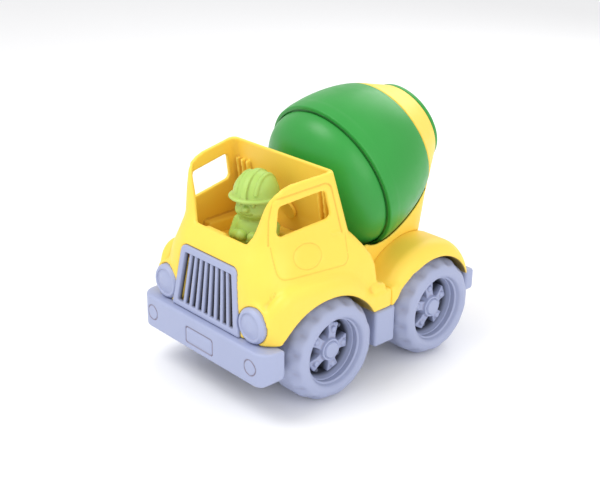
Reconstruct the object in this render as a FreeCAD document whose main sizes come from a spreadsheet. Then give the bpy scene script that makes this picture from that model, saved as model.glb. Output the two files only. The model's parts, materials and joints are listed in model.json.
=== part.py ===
"""Toy cement mixer truck: an open cab, a tilted spinning drum, four rolling wheels and a lift-out driver.

Millimetres, +Z up. The truck stands on z = 0, its front faces -Y, and x = 0 is its plane of symmetry.
"""

import FreeCAD, Part
import math
import os

import Sketcher

V = FreeCAD.Vector
doc = FreeCAD.newDocument("cement_mixer")

# ---------------------------------------------------------------------------------------------
# Driving dimensions
# ---------------------------------------------------------------------------------------------
SIZES = {
    # wheels and axles
    "front_axle_y": -41.0,
    "rear_axle_y": 53.0,
    "wheel_radius": 34.0,
    "tyre_outer_x": 66.2,
    "tyre_inner_x": 31.0,
    "rim_radius": 24.0,
    "rim_lip_radius": 20.6,
    "hub_radius": 7.2,
    "cap_radius": 5.6,
    "axle_radius": 3.0,
    "axle_clearance": 0.05,
    "spoke_count": 5,
    # yellow bodywork
    "wall": 2.6,
    "body_half_width": 62.7,
    "arch_radius": 40.2,
    "arch_inner_x": 28.0,
    "arch_forward": 5.0,
    "arch_drop": 2.0,
    "body_bottom": 49.5,
    "cab_floor_top": 80.0,
    "cab_rear_end": 9.5,
    "body_rear_end": 91.0,
    # grey parts
    "bumper_front_y": -98.0,
    "tail_end_y": 98.0,
    # drum, measured along its axis from the seam between its two shells
    "drum_tilt": 19.6,
    "drum_seam_y": 11.6,
    "drum_seam_z": 118.5,
    "drum_wall": 2.2,
    "drum_seam_radius": 53.0,
    "dome_radius": 50.0,
    "dome_depth": 28.0,
    "collar_front": 49.2,
    "collar_front_radius": 44.2,
    "collar_rear": 71.4,
    "collar_rear_radius": 30.8,
    "collar_wall": 2.6,
    "neck_gap": 0.4,
    "mouth_length": 3.2,
    "mouth_radius": 22.0,
    "pin_radius": 4.0,
    "pin_clearance": 0.05,
    # driver
    "driver_y": -51.0,
}

sheet = doc.addObject("Spreadsheet::Sheet", "sizes")
for row, (alias, value) in enumerate(SIZES.items(), start=1):
    sheet.set(f"A{row}", alias)
    sheet.set(f"B{row}", str(value))
    sheet.setAlias(f"B{row}", alias)
doc.recompute()

parts = []


def size(alias):
    """A driving dimension, read from the sheet."""
    return float(sheet.get(alias))


def bind(target, **expressions):
    """Bind properties of an object to expressions on the sheet; words become sheet cells."""
    for name, expression in expressions.items():
        target.setExpression(name, expression)


def keep(target, label):
    """Name a sub-part and put it on the list of parts."""
    target.Label = label
    parts.append(target)
    return target


def computed(label, shape):
    """A sub-part whose shape is worked out with Part's own functions."""
    feature = doc.addObject("Part::Feature", label)
    feature.Shape = shape
    return keep(feature, label)


def origin_plane(body, role):
    return next(plane for plane in body.Origin.OriginFeatures if plane.Role == role)


def sketch_on(body, role, name):
    sketch = body.newObject("Sketcher::SketchObject", name)
    sketch.AttachmentSupport = [(origin_plane(body, role), "")]
    sketch.MapMode = "FlatFace"
    return sketch


def drum_frame():
    """Placement whose local Z runs along the drum's axis from the seam centre, and local X is world X."""
    tilt = FreeCAD.Rotation(V(1, 0, 0), size("drum_tilt") - 90)
    return FreeCAD.Placement(V(0, size("drum_seam_y"), size("drum_seam_z")), tilt)


def turned(points):
    """Solid of revolution about Z from (radius, height) points.

    A point with four numbers is reached by an arc; the last two are a point half way along it.
    """
    edges = []
    closed = points + [points[0]]
    for start, end in zip(closed, closed[1:]):
        a, b = V(start[0], 0, start[1]), V(end[0], 0, end[1])
        if len(end) == 4:
            edges.append(Part.Arc(a, V(end[2], 0, end[3]), b).toShape())
        else:
            edges.append(Part.makeLine(a, b))
    face = Part.Face(Part.Wire(edges))
    return face.revolve(V(0, 0, 0), V(0, 0, 1), 360)


def turned_smooth(outer, inner):
    """Solid of revolution about Z between two smooth profiles of (radius, height) points.

    The inner profile runs the opposite way to the outer one, so that the two make one loop.
    """
    outer_curve = Part.BSplineCurve()
    outer_curve.interpolate([V(r, 0, z) for r, z in outer])
    inner_curve = Part.BSplineCurve()
    inner_curve.interpolate([V(r, 0, z) for r, z in inner])
    ends = [(outer[-1], inner[0]), (inner[-1], outer[0])]
    caps = [Part.makeLine(V(a[0], 0, a[1]), V(b[0], 0, b[1])) for a, b in ends]
    face = Part.Face(Part.Wire([outer_curve.toShape(), caps[0], inner_curve.toShape(), caps[1]]))
    return face.revolve(V(0, 0, 0), V(0, 0, 1), 360)


def prism(points, direction, start, end):
    """Extrude a closed outline along X, Y or Z; the points are the other two coordinates, in order."""
    def place(a, b, c):
        return {"X": V(c, a, b), "Y": V(a, c, b), "Z": V(a, b, c)}[direction]

    corners = [place(a, b, start) for a, b in points]
    face = Part.Face(Part.makePolygon(corners + [corners[0]]))
    length = end - start
    return face.extrude(place(0, 0, length))


def round_vertical(shape, direction, radius, test=None):
    """Fillet the straight edges of a prism that run along its direction."""
    chosen = []
    for edge in shape.Edges:
        tangent = edge.tangentAt(edge.FirstParameter)
        if abs(tangent.dot(direction)) > 0.999 and (test is None or test(edge)):
            chosen.append(edge)
    return shape.makeFillet(radius, chosen)


def mirrored(shape):
    return shape.mirror(V(0, 0, 0), V(1, 0, 0))


def both_sides(shape):
    return shape.fuse(mirrored(shape))


# ---------------------------------------------------------------------------------------------
# Wheels: tyre, hub with spokes, cap, and the axle that joins the two wheels of a pair
# ---------------------------------------------------------------------------------------------
def tyre(label, axle, side):
    """Chunky tyre with broad rounded shoulders and a dished sidewall."""
    outer, inner = size("tyre_outer_x"), size("tyre_inner_x")
    radius, rim, lip = size("wheel_radius"), size("rim_radius"), size("rim_lip_radius")
    shoulder = 8.0
    diagonal = shoulder * (1 - math.sqrt(0.5))
    profile = [
        (rim, inner + 2),
        (rim + 1, inner),
        (radius - shoulder, inner),
        (radius, inner + shoulder, radius - diagonal, inner + diagonal),
        (radius, outer - shoulder),
        (radius - shoulder, outer, radius - diagonal, outer - diagonal),
        (rim + 1, outer - 1.2),
        (lip, outer - 4.5),
        (lip, outer - 8),
        (rim, outer - 11),
    ]
    solid = turned(profile)
    solid.Placement = wheel_place(axle, side)
    return computed(label, solid)


def wheel_place(axle, side):
    """Local Z of a wheel part points outwards along the axle."""
    turn = FreeCAD.Rotation(V(0, 1, 0), 90 * side)
    return FreeCAD.Placement(V(0, size(f"{axle}_axle_y"), size("wheel_radius")), turn)


def wheel_hub(label, axle, side):
    """Rim barrel with a back plate, five flared spokes and a boss that is fixed on the axle."""
    outer, rim, lip = size("tyre_outer_x"), size("rim_radius"), size("rim_lip_radius")
    inner = size("tyre_inner_x")
    well = outer - 8
    barrel = turned([
        (lip - 2.0, well - 9),
        (lip, well - 1, lip - 0.5, well - 5),
        (lip, well),
        (rim, well - 3),
        (rim, inner + 3),
        (size("axle_radius"), inner + 3),
        (size("axle_radius"), inner + 9),
        (lip - 2.0, inner + 9),
    ])
    boss = turned([
        (size("axle_radius"), inner + 9),
        (size("hub_radius") + 1.5, inner + 9),
        (size("hub_radius"), outer - 6.5),
        (size("cap_radius"), outer - 6.5),
        (size("cap_radius"), outer - 12),
        (size("axle_radius"), outer - 12),
    ])
    solid = barrel.fuse(boss)
    count = int(size("spoke_count"))
    for k in range(count):
        spoke = prism([(6, -2.6), (lip - 0.4, -3.6), (lip - 0.4, 3.6), (6, 2.6)], "Z", outer - 14, outer - 8.5)
        lug = Part.makeCylinder(2.0, 3, V(14.5, 0, outer - 9.5), V(0, 0, 1))
        arm = spoke.fuse(lug)
        arm.rotate(V(0, 0, 0), V(0, 0, 1), 360.0 / count * k)
        solid = solid.fuse(arm)
    axle_hole = Part.makeCylinder(size("axle_radius"), 60, V(0, 0, inner - 5), V(0, 0, 1))
    cap_seat = Part.makeCylinder(size("cap_radius"), 20, V(0, 0, outer - 12), V(0, 0, 1))
    solid = solid.cut(axle_hole).cut(cap_seat).removeSplitter()
    solid.Placement = wheel_place(axle, side)
    return computed(label, solid)


def hub_cap(label, axle, side):
    """Round cap with a chamfered edge, pressed into the hub's boss over the end of the axle."""
    outer, cap = size("tyre_outer_x"), size("cap_radius")
    solid = turned([
        (0, outer - 11.5),
        (cap, outer - 11.5),
        (cap, outer - 6.2),
        (cap - 0.9, outer - 5.2),
        (0, outer - 5.2),
    ])
    solid.Placement = wheel_place(axle, side)
    return computed(label, solid)


def axle(label, which):
    """Plain shaft right across the truck, turned as a PartDesign pad."""
    body = doc.addObject("PartDesign::Body", label)
    sketch = sketch_on(body, "YZ_Plane", f"{label}_section")
    circle = sketch.addGeometry(Part.Circle(V(0, 0, 0), V(0, 0, 1), size("axle_radius")), False)
    sketch.addConstraint(Sketcher.Constraint("Radius", circle, size("axle_radius")))
    sketch.addConstraint(Sketcher.Constraint("Coincident", circle, 3, -1, 1))
    sketch.setExpression("Constraints[0]", "sizes.axle_radius")
    pad = body.newObject("PartDesign::Pad", f"{label}_shaft")
    pad.Profile = sketch
    pad.Midplane = True
    bind(pad, Length="2 * (sizes.tyre_outer_x - 12)")
    bind(body, **{
        "Placement.Base.y": f"sizes.{which}_axle_y",
        "Placement.Base.z": "sizes.wheel_radius",
    })
    return keep(body, label)


SIDES = (("left", -1), ("right", 1))


def wheels():
    for which in ("front", "rear"):
        axle(f"{which}_axle", which)
        for name, side in SIDES:
            tyre(f"tyre_{which}_{name}", which, side)
            wheel_hub(f"wheel_hub_{which}_{name}", which, side)
            hub_cap(f"hub_cap_{which}_{name}", which, side)


# ---------------------------------------------------------------------------------------------
# Yellow bodywork
# ---------------------------------------------------------------------------------------------
# Plan outlines of the cab, from the bottom up: height, half width at the back, half width at the
# front corner, front face and corner radius.
CAB_SECTIONS = (
    (40.0, 62.7, 62.2, -92.5, 18.0),
    (62.0, 62.7, 61.5, -92.0, 20.0),
    (72.0, 62.7, 59.5, -91.3, 21.0),
    (84.0, 60.0, 54.5, -90.0, 23.5),
    (92.0, 58.6, 51.0, -88.0, 24.0),
    (98.0, 57.9, 48.8, -84.5, 20.0),
    (103.0, 57.5, 47.0, -80.0, 15.0),
    (110.0, 57.2, 45.5, -77.5, 10.5),
    (118.0, 57.0, 44.5, -76.2, 8.0),
    (130.0, 56.8, 43.0, -75.0, 6.5),
    (150.0, 56.4, 41.0, -73.5, 5.5),
)
# Grille: the plane of its face leans back from its foot; setback is from the bumper's front.
GRILLE_BOTTOM, GRILLE_TOP, GRILLE_DEPTH, GRILLE_SETBACK = 49.2, 91.0, 4.0, 4.3
GRILLE_LEAN = math.degrees(math.atan2(4.2, 43.0))
# Height of the rear bed's top.
BED_TOP = 64.0
# Headlights: centre, barrel radius and depth.
LAMP_X, LAMP_Z, LAMP_RADIUS, LAMP_DEPTH, LAMP_SETBACK = 42.5, 59.9, 11.4, 9.0, 5.2


def cab_outline(height, back, corner, front, radius, inset=0.0, rear=None):
    """One closed plan outline of the cab with rounded front corners, as a wire."""
    rear = size("cab_rear_end") if rear is None else rear
    back, corner, front = back - inset, corner - inset, front + inset
    radius = max(radius - inset, 2.0)
    cut = radius * (1 - math.sqrt(0.5))

    def right(x, y):
        return V(x, y, height)

    def left(x, y):
        return V(-x, y, height)

    return Part.Wire([
        Part.makeLine(left(back, rear), left(corner, front + radius)),
        Part.Arc(left(corner, front + radius), left(corner - cut, front + cut),
                 left(corner - radius, front)).toShape(),
        Part.makeLine(left(corner - radius, front), right(corner - radius, front)),
        Part.Arc(right(corner - radius, front), right(corner - cut, front + cut),
                 right(corner, front + radius)).toShape(),
        Part.makeLine(right(corner, front + radius), right(back, rear)),
        Part.makeLine(right(back, rear), left(back, rear)),
    ])


def cab_form(inset, rear=None):
    wires = [cab_outline(*section, inset=inset, rear=rear) for section in CAB_SECTIONS]
    return Part.makeLoft(wires, True, True)


def wheel_tunnel(which, side_reach):
    """The space round a pair of wheels: a cylinder on each side, open downwards."""
    radius = size("arch_radius")
    y = size(f"{which}_axle_y") - (size("arch_forward") if which == "front" else 0.0)
    z = size("wheel_radius") - size("arch_drop")
    inner = size("arch_inner_x")
    tunnel = Part.makeCylinder(radius, side_reach, V(inner, y, z), V(1, 0, 0))
    below = Part.makeBox(side_reach, 2 * radius, z + 5, V(inner, y - radius, -5))
    return both_sides(tunnel.fuse(below))


def cab_shell():
    """Open cab, nose and front fenders in one moulding, with windows, a floor tray and a rear wall."""
    wall, floor = size("wall"), size("cab_floor_top")
    rear, bottom = size("cab_rear_end"), size("body_bottom")
    outside = cab_form(0.0)
    # Side view of what the moulding keeps: nose, belt, roof rail, rear wall and running board.
    side = [
        (-110, bottom), (rear, bottom), (rear, 60.5), (1.5, 62.5), (-0.5, 68.7), (-2.1, 81.6),
        (-10.7, 94.1), (-15.4, 100.6), (-19.0, 103.5), (-29.3, 145.6), (-60.0, 141.2),
        (-70.0, 138.0), (-78.0, 132.0), (-110, 128),
    ]
    outside = outside.common(prism(side, "X", -70, 70))
    # Cabin: everything above the floor and ahead of the leaning rear wall.
    cabin_side = [
        (-110, floor), (-13.6 - wall - 3.4, floor), (-19.0 - wall, 103.5), (-31.6 - wall, 155), (-110, 155),
    ]
    cabin = cab_form(wall).common(prism(cabin_side, "X", -70, 70))
    # Windscreen: open at the top, narrower at the sill.
    screen = prism([(-23, 103), (23, 103), (27, 107), (33, 123), (38.4, 136), (41, 160),
                    (-41, 160), (-38.4, 136), (-33, 123), (-27, 107)], "Y", -110, -62)
    window = prism([(-70.5, 111.5), (-68.0, 129.5), (-37.2, 134.2), (-34.2, 117.0)], "X", -80, 80)
    window = round_vertical(window, V(1, 0, 0), 3.0)
    # Under the floor the moulding is a shell as well.
    engine_bay = Part.makeBox(2 * size("arch_inner_x") - 2 * wall, 200, floor - wall - bottom + 10,
                              V(-size("arch_inner_x") + wall, -120, bottom - 10))
    engine_bay = engine_bay.common(cab_form(wall, rear=rear - wall))
    stern = Part.makeBox(130, 40, 60, V(-65, -8.0, floor - wall - 10))
    engine_bay = engine_bay.cut(stern)
    grille_hole = prism([(-28.5, 51), (28.5, 51), (23.5, 83), (-23.5, 83)], "Y", -110, -80)
    shell = outside.cut(cabin).cut(screen).cut(window).cut(engine_bay).cut(grille_hole)
    shell = shell.cut(wheel_tunnel("front", 60))
    shell = shell.fuse(peg_bosses(FRONT_PEG_Y, floor - 1))
    shell = shell.cut(peg_shanks(FRONT_PEG_Y)).cut(grille_blank(0.15))
    for _, side in SIDES:
        shell = shell.cut(lamp_pocket(side))
    pin_hole = Part.makeCylinder(size("pin_radius"), 12, V(0, 0, -42), V(0, 0, 1))
    pin_hole.Placement = drum_frame()
    return computed("cab_shell", shell.cut(pin_hole).removeSplitter())


FRONT_PEG_Y, REAR_PEG_Y = -77.0, 26.0
PEG_X, PEG_RADIUS, PEG_TOP = 15.2, 2.4, 57.0


def peg_bosses(y, top):
    """Two round columns under a yellow moulding that stand on the chassis deck."""
    seat = size("body_bottom") - 0.5
    columns = [Part.makeCylinder(5.0, top - seat, V(x, y, seat), V(0, 0, 1)) for x in (-PEG_X, PEG_X)]
    return columns[0].fuse(columns[1])


def peg_shanks(y):
    """Shanks of two pegs, from under the deck up into the bosses."""
    low = 43.0
    shanks = [Part.makeCylinder(PEG_RADIUS, PEG_TOP - low, V(x, y, low), V(0, 0, 1)) for x in (-PEG_X, PEG_X)]
    return Part.makeCompound(shanks)


def lamp_pocket(side):
    """Round seat in the nose for a headlight's barrel."""
    front = size("bumper_front_y") + LAMP_SETBACK
    return Part.makeCylinder(LAMP_RADIUS + 0.2, LAMP_DEPTH + 0.2, V(LAMP_X * side, front, LAMP_Z), V(0, 1, 0))


def grille_blank(gap=0.0):
    """Outer block of the leaning grille, grown by a gap all round."""
    bottom_z, top_z = GRILLE_BOTTOM, GRILLE_TOP
    low, high = 33.2 + gap, 26.8 + gap
    outline = [(-low, -gap), (low, -gap), (high, top_z - bottom_z + gap), (-high, top_z - bottom_z + gap)]
    block = prism(outline, "Y", -gap, GRILLE_DEPTH + gap)
    block = round_vertical(block, V(0, 1, 0), 5.0, lambda edge: edge.CenterOfMass.z > 30)
    return grille_place(block)


def grille_place(shape):
    """Lean a shape drawn upright and put it at the front of the nose."""
    shape.rotate(V(0, 0, 0), V(1, 0, 0), -GRILLE_LEAN)
    shape.translate(V(0, size("bumper_front_y") + GRILLE_SETBACK, GRILLE_BOTTOM))
    return shape


def cab_floor():
    """Floor plate of the cab with a dashboard cowl and a low seat block behind the driver."""
    wall, floor = size("wall"), size("cab_floor_top")
    gap = 0.2
    plate = cab_form(wall + gap).common(Part.makeBox(140, 66, 2.2, V(-70, -84, floor)))
    plate = plate.common(prism([(-84, floor - 1), (-20.4, floor - 1), (-20.8, floor + 4), (-84, floor + 4)],
                               "X", -70, 70))
    cowl_side = [(-76, floor + 2.2), (-66, floor + 2.2), (-69, 95), (-73, 98), (-76, 98)]
    cowl = prism(cowl_side, "X", -22, 22)
    cowl = round_vertical(cowl, V(1, 0, 0), 1.5, lambda edge: edge.CenterOfMass.z > 94)
    seat = Part.makeBox(44, 9.0, 11, V(-22, -33.5, floor + 2.2))
    seat = round_vertical(seat, V(1, 0, 0), 3.0, lambda edge: edge.CenterOfMass.z > 90)
    trimmed = cowl.fuse(seat).common(cab_form(wall + gap))
    return computed("cab_floor", plate.fuse(trimmed).removeSplitter())


def drum_clearance():
    """The space that the turning drum needs, a little larger than its shells."""
    room = 1.5
    front = -size("dome_depth") - room
    outline = [(0, front), (size("dome_radius") * 0.72, front + 2.0), (size("dome_radius") + room, -8.0)]
    outline += [(bulge(step) + room, step) for step in (-1.0, 10.0, 20.0, 30.0, 40.0, 49.0)]
    outline += [(0, 49.0)]
    space = turned(outline)
    space.Placement = drum_frame()
    return space


def fender_reach(angle):
    """Distance of the rear fender's crest from the wheel arch's centre; it thins towards the back."""
    crest, thinning = 50.3, 7.5
    if angle >= 90:
        return crest
    return crest - thinning * ((90 - angle) / 70) ** 1.5


def rear_block():
    """Bed and the two arched fenders as one solid block, before it is hollowed."""
    bottom = size("body_bottom")
    start, end, half = size("cab_rear_end") + 0.2, size("body_rear_end"), size("body_half_width")
    inner, y = size("arch_inner_x") - size("wall"), size("rear_axle_y")
    z = size("wheel_radius") - size("arch_drop")
    bed = Part.makeBox(2 * inner, end - start, BED_TOP - bottom, V(-inner, start, bottom))
    outline = [(start, bottom), (start, 62.0)]
    for angle in range(143, 20, -6):
        reach, turn = fender_reach(angle), math.radians(angle)
        outline.append((y + reach * math.cos(turn), max(z + reach * math.sin(turn), bottom + 0.5)))
    outline += [(end, bottom)]
    fender = prism(outline, "X", inner, half)
    top = [edge for edge in fender.Edges
           if edge.CenterOfMass.x > half - 0.1 and edge.CenterOfMass.z > bottom + 6
           and edge.CenterOfMass.y > start + 1]
    fender = fender.makeFillet(8.5, top)
    return bed.fuse(both_sides(fender))


def rear_body():
    """Rear bed between the wheels with an arched fender over each rear wheel."""
    wall, bottom = size("wall"), size("body_bottom")
    start, end, inner = size("cab_rear_end") + 0.2, size("body_rear_end"), size("arch_inner_x") - size("wall")
    hollow = Part.makeBox(2 * (inner - wall), end - start - 2 * wall, BED_TOP - wall - bottom + 5,
                          V(-inner + wall, start + wall, bottom - 5))
    block = rear_block().cut(hollow).cut(wheel_tunnel("rear", 60)).cut(drum_clearance())
    block = block.fuse(peg_bosses(REAR_PEG_Y, BED_TOP - 1)).cut(peg_shanks(REAR_PEG_Y))
    return computed("rear_body", block.removeSplitter())


def drum_support():
    """Yellow saddle on the bed: cheeks beside the drum, and the collar in which the drum's neck turns."""
    front, rear = size("collar_front"), size("collar_rear")
    big, small, wall = size("collar_front_radius"), size("collar_rear_radius"), size("collar_wall")
    collar = turned([(big, front), (small, rear), (small - wall, rear), (big - wall, front)])
    slope = (big - small) / (rear - front)
    bore = Part.makeCone(big - wall + slope * 5, small - wall - slope * 5, rear - front + 10, V(0, 0, front - 5))
    collar.Placement = bore.Placement = drum_frame()
    half, corner = 37.0, 19.0
    cheek_front = 14.5
    outside = [(cheek_front, 60), (cheek_front, 66), (30, 73), (61, 111.5), (66.5, 112.8), (77.0, 104), (69.2, 60)]
    inside = [(cheek_front + wall, 50), (cheek_front + wall, 130), (79.0, 130), (67.4 - wall, 50)]

    def rounded(points, half_width, radius):
        block = prism(points, "X", -half_width, half_width)
        rear_edges = [edge for edge in block.Edges if edge.CenterOfMass.y > 65 and abs(edge.CenterOfMass.x) > 1
                      and edge.BoundBox.ZLength > 20 and edge.BoundBox.XLength < 0.1]
        return block.makeFillet(radius, rear_edges)

    saddle = rounded(outside, half, corner).cut(rounded(inside, half - wall, corner - wall))
    solid = collar.fuse(saddle).cut(bore).cut(drum_clearance()).cut(rear_block())
    solid = max(solid.Solids, key=lambda piece: piece.Volume)
    return computed("drum_support", solid.removeSplitter())


# ---------------------------------------------------------------------------------------------
# Drum: two shells joined at a seam, a mouth ring that keeps it in its collar, and the front pin
# ---------------------------------------------------------------------------------------------
def bulge(distance):
    """Outer radius of the rear drum shell at a distance behind the seam."""
    profile = ((0.0, 53.0), (10.0, 53.5), (20.0, 52.6), (30.0, 50.8), (40.0, 48.0), (49.0, 44.3))
    curve = Part.BSplineCurve()
    curve.interpolate([V(r, 0, d) for d, r in profile])
    first, last = curve.FirstParameter, curve.LastParameter
    for _ in range(40):
        middle = (first + last) / 2
        if curve.value(middle).z < max(distance, 0.0):
            first = middle
        else:
            last = middle
    return curve.value((first + last) / 2).x


def collar_inside(distance):
    front, rear = size("collar_front"), size("collar_rear")
    big, small = size("collar_front_radius"), size("collar_rear_radius")
    return big + (small - big) * (distance - front) / (rear - front) - size("collar_wall")


def drum_rear_shell():
    """Bulging barrel that steps down into a conical neck; the neck turns inside the collar."""
    wall, gap = size("drum_wall"), size("neck_gap")
    front, rear = size("collar_front"), size("collar_rear")
    steps = (0.0, 10.0, 20.0, 30.0, 40.0, front - gap)
    outer = [(bulge(step), step) for step in steps]
    inner = [(bulge(step) - wall, step) for step in steps[:-1]] + [(bulge(front - gap) - wall - 1.6, front - gap)]
    belly = turned_smooth(outer, inner[::-1])
    neck_front, neck_rear = collar_inside(front) - gap, collar_inside(rear) - gap
    root = inner[-1][0] + 2.6
    neck = turned([
        (neck_front, front - gap - 0.01),
        (neck_rear, rear),
        (neck_rear - wall, rear),
        (neck_front - wall, front - 2.6),
        (root, front - 2.6),
        (root, front - gap - 0.01),
    ])
    solid = belly.fuse(neck).removeSplitter()
    solid.Placement = drum_frame()
    return computed("drum_rear_shell", solid)


def drum_front_shell():
    """Domed front shell with a spigot that plugs into the rear shell and a boss for the pin."""
    wall, radius, depth = size("drum_wall"), size("dome_radius"), size("dome_depth")
    spigot, pin = size("drum_seam_radius") - wall, size("pin_radius") + size("pin_clearance")
    boss_radius, boss_end = pin + 3.0, -18.0

    def dome(r, d, clip):
        angle = math.acos(min(1.0, clip / r))
        count = 8
        return [(r * math.cos(angle * k / count), -d * math.sin(angle * k / count)) for k in range(count + 1)]

    outer = dome(radius, depth, boss_radius)
    inner = dome(radius - wall, depth - wall, boss_radius)
    shell = turned_smooth(outer, inner[::-1])
    lip = turned([
        (radius - wall + 0.2, -1.0), (radius - 0.2, -1.0), (radius - 0.2, 0.0), (spigot, 0.2),
        (spigot, 5.0), (spigot - wall, 5.0),
    ])
    boss = turned([
        (pin, -depth + 1.2), (boss_radius, -depth + 0.6), (boss_radius + 0.6, outer[-1][1] + 1.6),
        (boss_radius, boss_end), (0, boss_end), (0, boss_end - 2.0), (pin, boss_end - 2.0),
    ])
    solid = shell.fuse(lip).fuse(boss).removeSplitter()
    solid.Placement = drum_frame()
    return computed("drum_front_shell", solid)


def drum_mouth_ring():
    """Green ring round the drum's mouth; it is wider than the collar and keeps the neck in it."""
    rear, gap = size("collar_rear"), size("neck_gap")
    neck = collar_inside(rear) - gap
    outer, mouth = size("collar_rear_radius") - 0.2, size("mouth_radius")
    end = rear + gap + size("mouth_length")
    solid = turned([
        (mouth, rear + 0.02), (neck, rear + 0.02), (neck, rear + gap), (outer, rear + gap),
        (outer - 1.4, end), (mouth + 0.8, end), (mouth, end - 0.8),
    ])
    solid.Placement = drum_frame()
    return computed("drum_mouth_ring", solid)


def drum_pivot_pin():
    """Headed pin that passes through the cab's rear wall into the boss of the front shell."""
    body = doc.addObject("PartDesign::Body", "drum_pivot_pin")
    sketch = sketch_on(body, "XZ_Plane", "pin_profile")
    corners = [(0, -39.2), (6.5, -39.2), (6.5, -37.4), (4, -37.4), (4, -20.6), (0, -20.6)]
    for first, second in zip(corners, corners[1:] + corners[:1]):
        sketch.addGeometry(Part.LineSegment(V(*first, 0), V(*second, 0)), False)
    for index in range(len(corners)):
        following = (index + 1) % len(corners)
        sketch.addConstraint(Sketcher.Constraint("Coincident", index, 2, following, 1))
    shaft = sketch.addConstraint(Sketcher.Constraint("DistanceX", -1, 1, 3, 2, size("pin_radius")))
    sketch.setExpression(f"Constraints[{shaft}]", "sizes.pin_radius")
    turning = body.newObject("PartDesign::Revolution", "pin_body")
    turning.Profile = sketch
    turning.ReferenceAxis = (sketch, ["V_Axis"])
    turning.Angle = 360
    body.Placement = drum_frame()
    return keep(body, "drum_pivot_pin")


# ---------------------------------------------------------------------------------------------
# Grey parts: chassis, bumper, grille and headlights
# ---------------------------------------------------------------------------------------------
def chassis_frame():
    """Ribbed chassis: deck, four rails that carry both axles, a tank box each side and the tail."""
    deck_top, deck_under, rail_bottom = size("body_bottom") - 0.5, 43.0, 25.0
    front, tail = -84.0, size("tail_end_y")
    half = 24.5
    deck = Part.makeBox(2 * half, 90.0 - front, deck_top - deck_under, V(-half, front, deck_under))
    solid = deck
    for x in (-half, -9.5, 6.0, half - 3.5):
        rail_side = [(front + 6, deck_under), (front + 12, rail_bottom), (78.0, rail_bottom), (86.0, deck_under)]
        solid = solid.fuse(prism(rail_side, "X", x, x + 3.5))
    tank = Part.makeBox(120, 18.3, 25.5, V(-60, -1.8, 21.5))
    tank = round_vertical(tank, V(0, 0, 1), 2.0)
    tank_core = Part.makeBox(2 * half - 7, 30, 30, V(-half + 3.5, -8, 13.0))
    solid = solid.fuse(tank.cut(tank_core))
    rear = Part.makeBox(116, 9.0, 15.5, V(-58, tail - 9.0, 33.5))
    rear = round_vertical(rear, V(0, 0, 1), 4.0)
    rear = rear.makeFillet(1.5, [edge for edge in rear.Edges if abs(edge.CenterOfMass.z - 49.0) < 0.01])
    solid = solid.fuse(rear)
    hole = size("axle_radius") + size("axle_clearance")
    for which in ("front", "rear"):
        place = V(-80, size(f"{which}_axle_y"), size("wheel_radius"))
        solid = solid.cut(Part.makeCylinder(hole, 160, place, V(1, 0, 0)))
    for y in (FRONT_PEG_Y, REAR_PEG_Y):
        solid = solid.cut(peg_shanks(y))
    return computed("chassis_frame", solid.removeSplitter())


def front_bumper():
    """Wrap-round bumper with rounded lower corners, a blank plate and two round marker lamps."""
    front, half = size("bumper_front_y"), size("body_half_width")
    top, bottom, back = 48.6, 25.8, -81.8
    block = Part.makeBox(2 * half, back - front, top - bottom, V(-half, front, bottom))
    block = round_vertical(block, V(0, 0, 1), 11.0, lambda edge: edge.CenterOfMass.y < front + 1)
    block = round_vertical(block, V(0, 1, 0), 8.0, lambda edge: edge.CenterOfMass.z < bottom + 1)
    hollow = Part.makeBox(2 * half - 14, 30, top - bottom - 8, V(-half + 7, front + 6, bottom + 4))
    mouth = Part.makeBox(2 * half - 14, 30, top - bottom, V(-half + 7, -84.0 - 4.5, bottom + 4))
    block = block.cut(hollow).cut(mouth)
    plate = Part.makeBox(26, 1.5, 10, V(-13, front, 30.6))
    plate = round_vertical(plate, V(0, 1, 0), 2.0)
    frame = Part.makeBox(27.2, 0.6, 11.2, V(-13.6, front, 30.0))
    frame = round_vertical(frame, V(0, 1, 0), 2.4).cut(plate)
    block = block.cut(frame)
    for x in (-49.2, 49.2):
        ring = Part.makeCylinder(5.2, 12, V(x, front - 5, 37.3), V(0, 1, 0))
        ring = ring.cut(Part.makeCylinder(4.7, 12, V(x, front - 5, 37.3), V(0, 1, 0)))
        block = block.cut(ring.common(Part.makeBox(130, 5.0, 60, V(-65, front - 4.4, 0))))
    for _, side in SIDES:
        block = block.cut(lamp_pocket(side))
    return computed("front_bumper", block.removeSplitter())


def radiator_grille():
    """Trapezoid frame with upright bars that fan out a little towards the foot."""
    base, height, bars = 3.6, 33.8, 8
    low, high, half_bar = 28.0, 22.9, 1.15
    window = prism([(-low, base), (low, base), (high, base + height), (-high, base + height)],
                   "Y", -1, GRILLE_DEPTH + 1)
    solid = grille_blank().cut(grille_place(window))
    for k in range(bars):
        share = (k + 1) / (bars + 1) * 2 - 1
        foot, head = low * share, high * share
        bar = prism([(foot - half_bar, base - 1), (foot + half_bar, base - 1),
                     (head + half_bar, base + height + 1), (head - half_bar, base + height + 1)],
                    "Y", 0.6, GRILLE_DEPTH)
        solid = solid.fuse(grille_place(bar))
    for _, side in SIDES:
        solid = solid.cut(lamp_pocket(side))
    return computed("radiator_grille", solid.removeSplitter())


def headlight(label, side):
    """Round lamp: a short barrel with a raised bezel round a flat lens."""
    depth, radius = LAMP_DEPTH, LAMP_RADIUS
    barrel = turned([
        (0, 0), (radius, 0), (radius, depth - 1.0), (radius - 0.6, depth), (radius - 2.0, depth),
        (radius - 2.4, depth - 1.0), (0, depth - 1.0),
    ])
    turn = FreeCAD.Rotation(V(1, 0, 0), 90)
    front = size("bumper_front_y") + LAMP_SETBACK
    barrel.Placement = FreeCAD.Placement(V(LAMP_X * side, front + depth, LAMP_Z), turn)
    return computed(label, barrel)


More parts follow.
